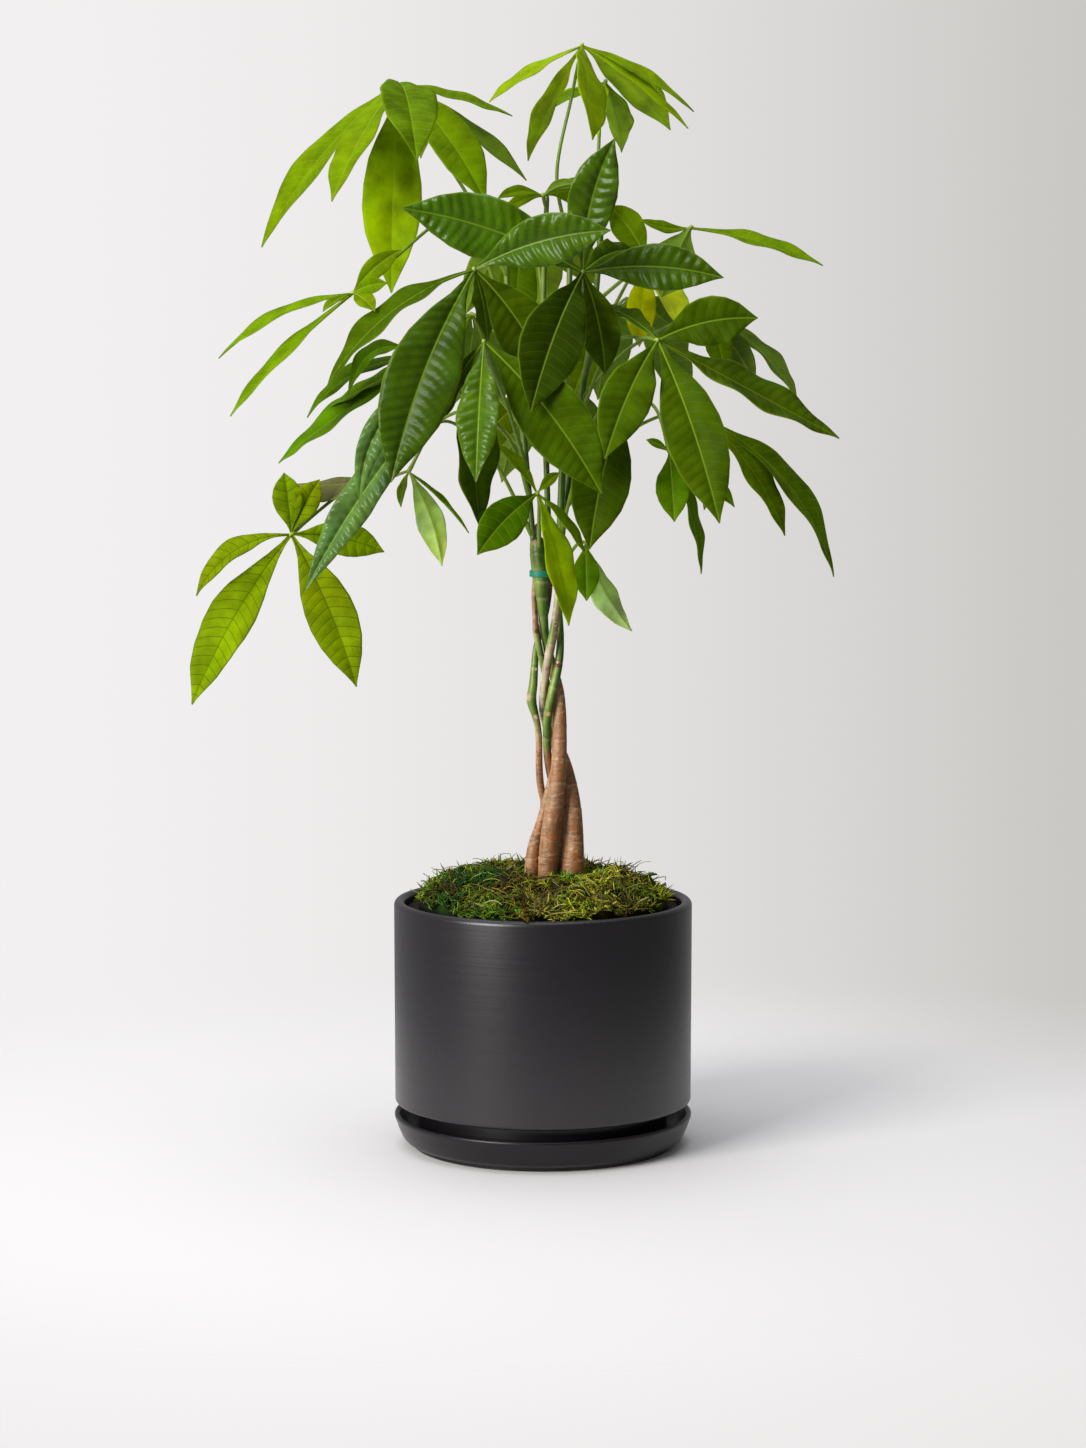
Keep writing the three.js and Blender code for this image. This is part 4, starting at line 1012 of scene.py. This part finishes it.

# %% [markdown]
# ## Where the leaves are
#
# The crown is what makes this plant itself, so each leaf is placed as it stands in the picture: its
# hub, its stalk from one of the stems, and the tip of each leaflet. A rule with random draws would be
# shorter, but it would grow another plant. The leaves behind the crown follow the same habit.

# %% Table of the leaves
# [name, stem, height on the stem, hub, way points of the stalk, leaflets], where a leaflet is
# [tip x, tip y, tip z, width seen, arch, twist in degrees, its own age or painted light or shade
# if it has one], all in millimetres
LEAVES = [
    ["leaf_top_right", "stem_right", 660, [28, 5, 804], [[10, 8, 710], [21, 7, 769]], [
        [-39, -30, 764, 7, 0.03, 0], [-11, 50, 722, 14, 0.03, 0], [36, -95, 737, 18, 0.06, 0],
        [109, 35, 757, 7, 0.04, 0], [92, 65, 744, 24, 0.04, 0], [105, 0, 745, 6, 0.03, 0],
    ]],
    ["leaf_top_back", "stem_slim_right", 660, [45, 34, 778], [[40, 28, 720], [42, 33, 760]], [
        [6, 80, 759, 7, 0.04, 0], [40, -20, 739, 10, 0.04, 0], [57, 80, 728, 16, 0.05, 0],
        [61, 100, 739, 12, 0.05, 0],
    ]],
    ["leaf_top_left", "stem_left", 640, [-105, 0, 777], [[-51, 14, 691], [-83, 4, 741]], [
        [-204, -25, 660, 17, 0.06, 0], [-153, -80, 693, 19, 0.05, 0],
        [-110, -15, 627, 43, 0.04, 0, "sunny"], [-91, -125, 722, 38, 0.12, 0, "shaded"],
        [-41, -48, 691, 31, 0.07, 0], [-22, 30, 754, 6, 0.02, 0], [-12, 60, 708, 10, 0.03, 0],
        [-88, 80, 724, 16, 0.06, 0],
    ]],
    ["leaf_left", "stem_left", 600, [-138, -60, 627], [[-60, 0, 681], [-108, -38, 652]], [
        [-236, -50, 580, 7, 0.08, 0], [-228, -90, 538, 8, 0.03, 0], [-103, -75, 658, 15, 0.06, 180],
        [-113, -80, 634, 12, 0.06, 0], [-122, -100, 614, 12, 0.04, 0], [-160, -90, 614, 5, 0.05, 0],
    ]],
    ["leaf_centre_left", "stem_left", 560, [-50, -90, 644], [[-28, -20, 590], [-42, -60, 625]], [
        [49, -120, 672, 36, 0.06, 0, "waxy"], [-157, -105, 560, 15, 0.1, 0],
        [-111, -125, 490, 51, 0.06, 0, "glossy"], [5, -68, 560, 40, 0.06, 0],
        [-40, -60, 592, 12, 0.06, 180],
    ]],
    ["leaf_centre_right", "stem_right", 560, [29, -60, 642], [[22, -10, 600], [28, -40, 628]], [
        [-102, -75, 688, 45, 0.05, 0, "waxy"], [52, -90, 738, 34, 0.06, 180, "waxy"],
        [131, -80, 638, 33, 0.06, 0, "glossy"], [-9, -125, 541, 45, 0.06, 0, "dusky"],
        [45, -56, 568, 29, 0.06, 0], [68, 0, 657, 18, 0.08, 0],
    ]],
    ["leaf_centre_low", "stem_left", 500, [-43, -100, 592], [[-26, -20, 545], [-38, -70, 575]], [
        [-49, -140, 490, 29, 0.06, 0, "waxy"], [43, -118, 481, 47, 0.05, 0], [-84, -92, 524, 16, 0.03, 0],
        [-46, -66, 457, 29, 0.04, 180],
    ]],
    ["leaf_right", "stem_slim_right", 530, [83, -80, 593], [[50, -10, 590], [72, -50, 595]], [
        [156, -95, 609, 35, 0.07, 0], [45, -128, 507, 36, 0.06, 0], [129, -130, 460, 42, 0.05, 0],
        [216, -70, 522, 20, 0, 0], [40, -18, 618, 11, 0.06, 0],
    ]],
    ["leaf_far_right", "stem_slim_right", 470, [118, -15, 536], [[58, 8, 523], [94, -4, 540]], [
        [177, -30, 451, 17, 0.08, 0], [213, 10, 421, 16, 0.11, 0], [118, 60, 470, 20, 0.06, 0],
    ]],
    ["leaf_low_right", "stem_slim_right", 505, [92, -60, 512], [[52, 0, 553], [80, -32, 546]], [
        [75, -50, 521, 6, 0.06, 0], [96, -80, 461, 24, 0.06, 0], [116, -60, 423, 8, 0.06, 0],
        [140, -60, 472, 14, 0.06, 0],
    ]],
    ["leaf_low_middle", "stem_right", 450, [58, -45, 548], [[28, -14, 505], [48, -34, 535]], [
        [34, -62, 441, 42, 0.05, 0], [54, -24, 490, 16, 0.05, 0],
    ]],
    ["leaf_front", "stem_middle", 436, [-4, -62, 482], [[-3, -20, 462], [-3, -45, 476]], [
        [-48, -92, 437, 30, 0.06, 0, "grown"], [19, -80, 385, 20, 0.06, 0, "sunny"],
        [31, -62, 437, 7, 0.06, 0], [12, -50, 497, 8, 0.06, 0], [-34, -50, 518, 8, 0.06, 0],
    ]],
    ["leaf_front_right", "stem_right", 420, [31, -38, 446], [[20, -18, 438], [27, -30, 446]], [
        [32, -50, 403, 19, 0.06, 0], [65, -25, 381, 18, -0.06, 180, "pale"],
    ]],
    ["leaf_low_left", "stem_left", 515, [-184, -30, 452],
     [[-56, 12, 542], [-110, 20, 508], [-150, 14, 480]], [
        [-189, -14, 497, 22, 0.05, 0], [-163, -14, 492, 20, 0.05, 0],
        [-254, -45, 407, 14, 0.16, 0], [-258, -65, 327, 33, 0.05, 0],
        [-137, -55, 340, 36, 0.05, 0], [-116, -10, 439, 25, 0.06, 0],
    ]],
    ["leaf_glossy_left", "stem_left", 480, [-68, -66, 560], [[-24, -10, 520], [-54, -50, 550]], [
        [-174, -78, 411, 26, 0.04, 0], [-134, -96, 474, 19, 0.25, 0],
    ]],
    ["leaf_small_left", "stem_left", 450, [-98, -48, 498], [[-36, 4, 505], [-74, -36, 534]], [
        [-104, -30, 472, 6, 0.08, 0], [-74, -45, 429, 20, 0.06, 180, "pale"], [-54, -35, 453, 3, 0.04, 0],
        [-186, 40, 488, 15, -0.035, 180, "withering"],
    ]],
    ["leaf_back_left", "stem_left", 530, [-86, -20, 580], [[-46, 10, 566], [-72, -6, 578]], [
        [-142, -40, 553, 11, 0.34, 0], [-172, -20, 537, 10, 0.14, 0], [-155, 15, 545, 8, 0.01, 0],
        [-193, 20, 504, 14, 0.02, 0],
    ]],
    ["leaf_upper_right", "stem_slim_right", 620, [107, 12, 674], [[62, 8, 640], [90, 6, 662]], [
        [203, 10, 647, 9, 0.035, 0], [86, -24, 624, 38, 0.06, 180], [70, -6, 680, 8, -0.08, 0],
    ]],
    ["leaf_yellow_right", "stem_slim_right", 590, [76, 22, 650], [[52, 20, 618], [66, 20, 642]], [
        [70, 30, 588, 22, 0.04, 0], [100, 100, 600, 20, 0.06, 0], [48, 44, 690, 24, 0.06, 0, "shaded"],
    ]],
    ["leaf_behind_right", "stem_slim_right", 550, [120, 0, 612], [[60, 18, 585], [98, 8, 606]], [
        [132, 5, 572, 20, 0.03, 0], [155, 20, 561, 20, 0.03, 0], [185, 30, 550, 10, 0.08, 0],
    ]],
    ["leaf_small_top", "stem_slim_left", 672, [0, -10, 697], [[3, 4, 684], [1, -4, 692]], [
        [-33, -30, 695, 8, 0.1, 0], [-30, -10, 683, 8, 0.1, 0], [27, -30, 705, 8, 0.1, 0],
        [46, 20, 690, 22, 0.12, 0],
    ]],
    ["leaf_crown_back", "stem_slim_left", 620, [-14, 70, 676], [[-4, 26, 652], [-10, 52, 670]], [
        [-56, 130, 612, 30, 0.06, 0], [0, 190, 610, 36, 0.1, 0], [40, 150, 632, 32, 0.08, 0],
        [-20, 70, 590, 30, 0.06, 0, "shaded"],
    ]],
    ["leaf_back_high_right", "stem_slim_right", 568, [62, 95, 622],
     [[52, 52, 614], [60, 80, 623]], [
        [40, 170, 550, 36, 0.08, 0], [105, 190, 580, 36, 0.08, 0], [104, 120, 545, 30, 0.08, 0],
        [20, 120, 545, 30, 0.06, 0],
    ]],
    ["leaf_back_high_left", "stem_left", 580, [-52, 90, 612], [[-34, 40, 598], [-46, 74, 610]], [
        [-110, 160, 550, 36, 0.06, 0], [-70, 185, 540, 36, 0.06, 0], [-90, 96, 532, 28, 0.06, 0],
        [-34, 130, 540, 30, 0.08, 0],
    ]],
    ["leaf_back_low", "stem_slim_left", 500, [0, 100, 560], [[0, 40, 530], [0, 78, 556]], [
        [-30, 170, 490, 34, 0.08, 0], [44, 170, 500, 34, 0.08, 0], [-60, 95, 500, 28, 0.06, 0],
        [34, 95, 500, 26, 0.06, 0],
    ]],
]

# How a leaf's age shows: its tone, how far the tissue bulges and the margin waves, in millimetres,
# how many waves the margin has, its wax, and the skin that the whole leaf takes. Three rows are no
# ages but painted light and shade: a lighter tone where a leaf catches more light, and two darker
# tones for leaves in the shade of others
HABIT_KEYS = ("tone", "bulge", "wave", "waves", "wax", "skin")
HABITS = {age: dict(zip(HABIT_KEYS, row)) for age, row in {
    "fresh": ("#86a107", 0.8, 1.0, 2.2, "thin", "fresh"),
    "light": ("#7b9d05", 0.6, 1.2, 2.2, "thin", "young"),
    "sunny": ("#95b606", 0.6, 1.2, 2.2, "thin", "young"),
    "shaded": ("#698b05", 0.6, 1.6, 2.4, "thin", "young"),
    "yellow": ("#c6d804", 0.3, 1.0, 2.0, "thin", "young"),
    "pale": ("#bce2a0", 0.7, 1.6, 2.6, "thin", "young"),
    "grown": ("#5a8402", 0.6, 1.6, 2.6, "thin", "grown"),
    "deep": ("#445f04", 0.9, 2.0, 2.8, "thin", "grown"),
    "dusky": ("#2d4003", 0.9, 2.0, 2.8, "thin", "grown"),
    "glossy": ("#3b5c03", 2.0, 2.0, 2.8, "thick", "grown"),
    "waxy": ("#4b7107", 2.0, 2.0, 2.8, "full", "grown"),
    # The rumpled tone is bluer than a grown leaf's: partly the leaf's own blue-green, partly a painted
    # sheen
    "rumpled": ("#5b8342", 2.4, 2.4, 3.0, "full", "grown"),
    "withering": ("#6e6d48", 0.8, 1.2, 2.6, "fair", "grown"),
}.items()}
SKINS = {
    "grown": ("upper_side_of_grown_leaf", "underside_of_grown_leaf"),
    "young": ("upper_side_of_young_leaf", "underside_of_young_leaf"),
    "fresh": ("upper_side_of_fresh_leaf", "underside_of_young_leaf"),
}
# Leaves under the painted light and shade rows take their tone for how light falls on them
AGES_AND_PAINTED_LIGHT = {leaf: age for age, leaves in {
    "sunny": ["leaf_top_right", "leaf_top_back"],
    "light": ["leaf_top_left", "leaf_left", "leaf_front", "leaf_small_top", "leaf_crown_back",
              "leaf_small_left", "leaf_upper_right"],
    "deep": ["leaf_centre_left", "leaf_centre_right", "leaf_centre_low", "leaf_right",
             "leaf_low_middle"],
    "shaded": ["leaf_back_low", "leaf_back_high_right", "leaf_back_high_left", "leaf_far_right",
               "leaf_behind_right"],
    "fresh": ["leaf_low_left"], "rumpled": ["leaf_glossy_left"], "yellow": ["leaf_yellow_right"],
}.items() for leaf in leaves}
print(len(LEAVES), "leaves,", sum(len(leaf[5]) for leaf in LEAVES), "leaflets")

# %% Put the leaves together
STALK_RADIUS = 1.5
STALK_SIDES = 12
STALK_STEPS = 48
STALK_TONE = "#7f9c28"
HUB_TONE = "#a9bd4a"
LIGHTNESS_RANGE = 0.16
YELLOWNESS_RANGE = 0.14


def point_on_stem(stem, height):
    """The middle of a stem at some height, where a stalk starts."""
    rows = np.array(STEMS[stem], dtype=float)
    return np.array([np.interp(height, rows[:, 2], rows[:, i]) for i in range(3)])


def make_stalk(stem, height, ways, hub):
    """Points and faces of a leaf stalk from its stem to the hub, and the colour of each point."""
    last = true_place(ways[-1])
    end = hub + unit(hub - last) * 2
    line = smooth_line([point_on_stem(stem, height), *map(true_place, ways), end], STALK_STEPS)
    share = np.linspace(0, 1, STALK_STEPS + 1)
    radii = np.interp(share, [0, 0.04, 0.12, 0.6, 0.93, 0.975, 1],
                      np.array([1.35, 1.3, 0.95, 0.8, 0.85, 1.2, 0.7]) * STALK_RADIUS)
    points, faces = tubes([line], [radii], STALK_SIDES)
    colours = blend_colours(np.repeat(share, STALK_SIDES), [(0, STALK_TONE), (0.9, STALK_TONE),
                                                            (1, HUB_TONE)])
    return points, faces, colours


def leaflet_tone(habit, dice):
    """The leaf's tone with a small change for this leaflet: lighter or darker, greener or yellower."""
    tone = np.array(linear(habit["tone"])[:3])
    lighter = 1 + LIGHTNESS_RANGE * (dice.random() - 0.5)
    yellower = 1 + YELLOWNESS_RANGE * (dice.random() - 0.5)
    return tone * lighter * [yellower, 1, 1]


def make_leaf(number, leaf):
    """A leaf as one piece. The edge of a blade has the finish of its upper side."""
    name, stem, height, hub_seen, ways, leaflets = leaf
    habit = HABITS[AGES_AND_PAINTED_LIGHT.get(name, "grown")]
    dice = np.random.default_rng(number)
    hub = true_place(hub_seen)
    width_ratio = NARROW_WIDTH_RATIO if name in NARROW_LEAVES else LEAFLET_WIDTH_RATIO
    points, faces, colours = make_stalk(stem, height, ways, hub)
    parts = [points]
    tones = [colours]
    finishes = [stalk]
    places = [0] * len(faces)
    marks = {key: [np.zeros(len(points))] for key in MARKS}
    count = len(points)
    for x, y, z, seen_width, arch, twist, *own in leaflets:
        looks = HABITS[own[0]] if own else habit
        upper, under = [leaf_finish(side, looks["wax"]) for side in SKINS[habit["skin"]]]
        if upper not in finishes:
            finishes += [upper, under]
        points, sides, painted = make_leaflet(hub, true_place((x, y, z)), seen_width, arch, twist,
                                              width_ratio, looks, dice)
        for finish, side in zip((upper, under, upper), sides):
            faces += (side + count).tolist()
            places += [finishes.index(finish)] * len(side)
        parts.append(points)
        tones.append(np.tile(leaflet_tone(looks, dice), (len(points), 1)))
        for key in marks:
            marks[key].append(painted[key])
        count += len(points)
    piece = mesh_object(name + "_grown", np.concatenate(parts), faces, finishes, places)
    paint(piece, "tone", np.concatenate(tones))
    for key in marks:
        paint(piece, key, np.concatenate(marks[key]))
    stand_for(piece, "leaf", name)
    return piece


leaf_triangles = [triangles(make_leaf(number, leaf)) for number, leaf in enumerate(LEAVES)]
print("leaves:", sum(leaf_triangles), "triangles, the largest", max(leaf_triangles))

# %% [markdown]
# ## Moss
#
# Sheet moss covers the soil: a springy mound of fine curled strands, deep green and feathery on the
# left, olive and straw-coloured in the middle and yellower on the right. Hair particles would be the
# usual way, but they don't survive an export, so each strand is a thin three-sided tube of its own.

# %% Moss finish
# Dried moss is dull and matted, with next to no sheen. Its real fibres are a third as thick as the
# strands below, which are drawn as coarse as they need to be to show.
FIBRE_FLECK = 1.5

moss_fibre, tree, shader = new_material("sheet_moss_fibre", {
    "Roughness": 0.75, "IOR": 1.4, "Specular IOR Level": 0.25})
tint, flecks = speckled(tree, FIBRE_FLECK, 2.0, 0.5, 0.75, 1.25)
tree.links.new(tint, shader.inputs["Base Color"])
bump = add_node(tree, "Bump", {"Height": flecks, "Distance": 0.6 * MM})
tree.links.new(bump.outputs[0], shader.inputs["Normal"])
print("moss flecks about", FIBRE_FLECK, "mm across")

# %% Height and colours of the mound
SOIL_TOP = 176
MOSS_EDGE_RADIUS = 92
MOSS_EDGE_Z = 185
MOSS_RISE = 20
CLUMPS = 150
CLUMP_SIZE = 7.5
FOOT_HOLLOW = 11
FRONT_STRETCH = 1.09
STEM_FEET = [(22, 0), (3, -6), (-9, -2), (-2, 14), (14, 19)]
MOSS_TONES = {
    "green": ["#4f7010", "#2c5a16", "#6f8a14", "#234a12", "#77881a", "#4b3814", "#3a6a14", "#1f4e2e"],
    "olive": ["#86761a", "#988830", "#564a0c", "#a89a48", "#686e12", "#3e300e"],
    "yellow": ["#a3a418", "#7c9018", "#587014", "#b8b03a", "#36480c", "#6e6420"],
    "bright": ["#55a010", "#448e0e", "#7cb01e"],
}


def scattered(count, radius, dice):
    """Even random places on a disc that reaches a little further at the front, to the pot's wall."""
    r = radius * np.sqrt(dice.random(count))
    angle = 2 * np.pi * dice.random(count)
    y = r * np.sin(angle)
    return r * np.cos(angle), np.where(y < 0, y * FRONT_STRETCH, y)


def kept_in(x, y):
    """Draws places back inside the moss's edge."""
    reach = np.hypot(x, np.where(y < 0, y / FRONT_STRETCH, y)) / MOSS_EDGE_RADIUS
    return x / np.maximum(reach, 1), y / np.maximum(reach, 1)


def clump_tones(x, y, dice):
    """A tone for each clump, by where it grows: each part of the mound has its own palette."""
    drift = x + 10 * np.sin(y / 13) + dice.normal(0, 12, len(x))
    at_foot = np.min([np.hypot(x - foot[0], y - foot[1]) for foot in STEM_FEET], axis=0) < 16
    kinds = np.select([at_foot, drift < -30, drift < 24], [3, 0, 1], 2)
    colours = np.empty((len(x), 3))
    for kind, name in enumerate(("green", "olive", "yellow", "bright")):
        palette = np.array([linear(tone)[:3] for tone in MOSS_TONES[name]])
        picked = dice.integers(len(palette), size=len(x))
        colours[kinds == kind] = palette[picked[kinds == kind]]
    return colours


clump_dice = np.random.default_rng(5)
CLUMP_X, CLUMP_Y = scattered(CLUMPS, MOSS_EDGE_RADIUS - 3, clump_dice)
CLUMP_COLOURS = clump_tones(CLUMP_X, CLUMP_Y, clump_dice)
CLUMP_RISES = clump_dice.uniform(0.5, 6.0, CLUMPS)


def nearest_clump(x, y):
    """The number of the nearest clump, and how far away its middle is."""
    apart = np.hypot(np.asarray(x)[..., None] - CLUMP_X, np.asarray(y)[..., None] - CLUMP_Y)
    return apart.argmin(-1), apart.min(-1)


def moss_height(x, y):
    """Height of the moss: a dome with a cushion for each clump, sunk round the stems' feet."""
    share = np.clip(np.hypot(x, y) / MOSS_EDGE_RADIUS, 0, 1.04)
    dome = MOSS_EDGE_Z + MOSS_RISE * np.cos(np.pi / 2 * np.minimum(share, 1) ** 1.5)
    clump, apart = nearest_clump(x, y)
    cushions = CLUMP_RISES[clump] * np.exp(-(apart / CLUMP_SIZE) ** 2)
    lumps = np.sin(x / 9 + 1.3) * np.cos(y / 8) + 0.7 * np.sin(x / 5.5 - y / 7 + 0.6)
    to_foot = np.min([np.hypot(x - foot[0], y - foot[1]) for foot in STEM_FEET], axis=0)
    hollow = FOOT_HOLLOW * np.exp(-(to_foot / 18) ** 2)
    return dome - 1.6 - 4 * (1 - share) - hollow + cushions + 0.9 * lumps


def moss_tones(x, y, dice):
    """A tone for each strand: that of its clump, or now and then of any clump near by."""
    count = len(x)
    strays = dice.normal(0, 5, (2, count))
    clump, _ = nearest_clump(x + strays[0], y + strays[1])
    return CLUMP_COLOURS[clump] * (0.35 + 1.1 * dice.random((count, 1)))


def moss_piece(name, lines, radii, tones, root, tip):
    """Thin three-sided tubes in their tones, with painted shade at the root and painted light at the tip.
    """
    shade = np.linspace(root, tip, len(lines[0]))[None, :, None]
    points, faces = tubes(lines, radii, 3)
    piece = mesh_object(name, points, faces, [moss_fibre])
    paint(piece, "tone", np.repeat((np.asarray(tones)[:, None] * shade).reshape(-1, 3), 3, axis=0))
    stand_for(piece, "moss")
    return piece


# %% Build the mound
MOUND_RINGS = 64
MOUND_SIDES = 180


def make_mound():
    """The matted ground that the strands lie on. Its last ring is the foot, on the soil."""
    radii = np.linspace(0.5, MOSS_EDGE_RADIUS, MOUND_RINGS)
    profile = [(r, 0) for r in radii] + [(MOSS_EDGE_RADIUS, SOIL_TOP)]
    points, faces = turned(profile, MOUND_SIDES, False)
    x, y = points[:-MOUND_SIDES, 0], points[:-MOUND_SIDES, 1]
    rough = 0.9 * np.sin(x * 0.9 + 2 * np.sin(y * 0.45)) * np.sin(y * 0.8 + 1.5 * np.sin(x * 0.4))
    points[:-MOUND_SIDES, 2] = moss_height(x, y) - 1.5 + rough
    mound = mesh_object("moss_mound", points, [face[::-1] for face in faces], [moss_fibre])
    # The mound is painted nearly black, lightest at each clump's middle and darkest between clumps: painted
    # shade under and between the strands
    clump, apart = nearest_clump(points[:, 0], points[:, 1])
    depth = ease(CLUMP_SIZE * 1.3, 0, apart)[:, None]
    paint(mound, "tone", CLUMP_COLOURS[clump] * (0.04 + 0.24 * depth))
    stand_for(mound, "moss", "moss")
    return mound


print("mound", triangles(make_mound()), "triangles")

# %% Curled strands that lie on the mound
def make_strands(name, count, steps, length, lift, thickness, seed):
    """Strands that wander over the mound in curls. length, lift and thickness are low and high."""
    dice = np.random.default_rng(seed)
    x, y = scattered(count, MOSS_EDGE_RADIUS - 2, dice)
    tones = moss_tones(x, y, dice)
    heading = 2 * np.pi * dice.random(count)
    curl = dice.normal(0, 2.4 / steps, count)
    stride = dice.uniform(*length, count) / (steps - 1)
    crown = dice.uniform(*lift, count)
    lines = np.empty((count, steps, 3))
    for step in range(steps):
        arch = crown * math.sin(math.pi * (0.1 + 0.75 * step / (steps - 1)))
        lines[:, step] = np.stack([x, y, moss_height(x, y) + arch - 0.4], axis=-1)
        heading = heading + curl + dice.normal(0, 0.24, count)
        x = x + stride * np.cos(heading)
        y = y + stride * np.sin(heading)
        x, y = kept_in(x, y)
    taper = np.interp(np.arange(steps), [0, 2, steps - 1], [0.6, 1, 0.35])
    radii = dice.uniform(*thickness, count)[:, None] * taper
    return moss_piece(name, lines, radii, tones, 0.25, 1.4)


strands = make_strands("moss_strands", 1900, 8, (9, 24), (0.6, 5.5), (0.5, 1.05), 11)
straws = make_strands("moss_straws", 420, 12, (18, 42), (2, 7), (0.35, 0.6), 13)
print("strands", triangles(strands), "triangles, straws", triangles(straws))

# %% Short upright leaves of the moss
# They lean away from the middle of their clump, which makes each clump a round cushion.
def make_tufts(name, count, length, seed):
    dice = np.random.default_rng(seed)
    x, y = scattered(count, MOSS_EDGE_RADIUS - 1, dice)
    tones = moss_tones(x, y, dice)
    clump, _ = nearest_clump(x, y)
    outward = np.stack([x - CLUMP_X[clump], y - CLUMP_Y[clump]], axis=-1) / 7
    lean = dice.normal(0, 0.4, (count, 2)) + outward
    way = unit(np.column_stack([lean, np.ones(count)]))
    bend = dice.normal(0, 0.35, (count, 3))
    reach = dice.uniform(*length, count)[:, None]
    root = np.stack([x, y, moss_height(x, y) - 1.2], axis=-1)
    taper = np.array([0.7, 1, 0.7, 0.15])
    share = np.linspace(0, 1, len(taper))
    lines = np.stack([root + reach * (way * s + bend * s * s) for s in share], axis=1)
    radii = dice.uniform(0.45, 1.1, count)[:, None] * taper
    return moss_piece(name, lines, radii, tones, 0.15, 1.7)


print("tufts", triangles(make_tufts("moss_tufts", 4200, (2.5, 9), 12)), "triangles")

# %% Loose ends that stand out of the moss
# Dried strands, straw-coloured or dark brown, curl up out of the moss and show against the wall.
LOOSE_TONES = ["#3a2a17", "#5a4a22", "#2a2a12", "#8f8a3e", "#6d7a1e", "#b3a870"]


def make_loose_ends(name, count, steps, length, seed):
    """Strands that rise out of the moss, wind sideways and droop. length is low and high."""
    dice = np.random.default_rng(seed)
    x, y = scattered(count, MOSS_EDGE_RADIUS - 4, dice)
    turn = 2 * np.pi * dice.random(count)
    rise = dice.uniform(0.5, 1.3, count)
    way = np.column_stack([np.cos(turn), np.sin(turn), rise])
    spin = dice.normal(0, 0.16, count)
    drop = dice.uniform(0.08, 0.3, count)
    stride = (dice.uniform(*length, count) / (steps - 1))[:, None]
    place = np.stack([x, y, moss_height(x, y) - 0.5], axis=-1)
    lines = np.empty((count, steps, 3))
    for step in range(steps):
        lines[:, step] = place
        place = place + stride * unit(way)
        turn = turn + spin
        rise = rise - drop
        way = np.column_stack([np.cos(turn), np.sin(turn), rise])
    lines[..., 0], lines[..., 1] = kept_in(lines[..., 0], lines[..., 1])
    lines[..., 2] = np.maximum(lines[..., 2], moss_height(lines[..., 0], lines[..., 1]))
    radii = dice.uniform(0.34, 0.7, count)[:, None] * np.linspace(1, 0.45, steps)
    palette = np.array([linear(tone)[:3] for tone in LOOSE_TONES])
    tones = palette[dice.integers(len(palette), size=count)]
    return moss_piece(name, lines, radii, tones, 0.8, 1.1)


ends = make_loose_ends("moss_loose_ends", 540, 10, (10, 28), 14)
print("loose ends", triangles(ends), "triangles")

# %% Feathery sprigs
# Fern-like sprigs stand out of the moss on the left and along the far edge, where they show dark
# against the wall. Each is a curved rib with short leaves in pairs.
SPRIG_PAIRS = 13
SPRIG_SPOTS = 420


def make_sprigs(name, places, length, seed):
    dice = np.random.default_rng(seed)
    lines = []
    tones = []
    for x, y in places:
        root = np.array([x, y, float(moss_height(np.array(x), np.array(y))) - 1])
        turn = 2 * np.pi * dice.random()
        way = unit(np.array([math.cos(turn), math.sin(turn), dice.uniform(0.25, 1.3)]))
        droop = np.array([0, 0, -dice.uniform(0.2, 0.75)])
        reach = dice.uniform(*length)
        tone = moss_tones(np.array([x]), np.array([y]), dice)[0]
        across = unit(np.cross(way, (0, 0, 1)))
        for s in np.linspace(0.15, 1, SPRIG_PAIRS):
            foot = root + reach * (way * s + droop * s * s)
            leaf = reach * 0.17 * math.sin(math.pi * (0.2 + 0.75 * s))
            for side in (-1, 1):
                tip = foot + leaf * (side * across + 0.75 * way + 0.2 * droop)
                lines.append([foot, (foot + tip) / 2 + (0, 0, 0.1 * leaf), tip])
                tones.append(tone * (0.85 + 0.3 * dice.random()))
        lines.append([root + reach * (way * s + droop * s * s) for s in (0, 0.5, 1)])
        tones.append(tone * 0.7)
    return moss_piece(name, lines, np.tile([0.45, 0.62, 0.14], (len(lines), 1)), tones, 0.7, 1.3)


def sprig_places():
    """More on the left and round the far edge, a few elsewhere."""
    dice = np.random.default_rng(21)
    x, y = scattered(SPRIG_SPOTS, MOSS_EDGE_RADIUS - 5, dice)
    wanted = (x < -30) | (y > 45) | (dice.random(SPRIG_SPOTS) < 0.3)
    return list(zip(x[wanted], y[wanted]))


sprigs = make_sprigs("moss_sprigs", sprig_places(), (8, 19), 22)
print("sprigs", triangles(sprigs), "triangles")

# %% [markdown]
# ## Sizes, and the end
#
# The looks must not change the object's size, so the box of what is shown now is printed against
# the box of the construction model.

# %% Print the sizes against the construction model
shown_box = [list(corner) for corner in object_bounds()]
growth = [[round((s - c) / MM, 1) for s, c in zip(*pair)] for pair in zip(shown_box, cad_box)]
print("shown box against the construction model, mm:", growth)
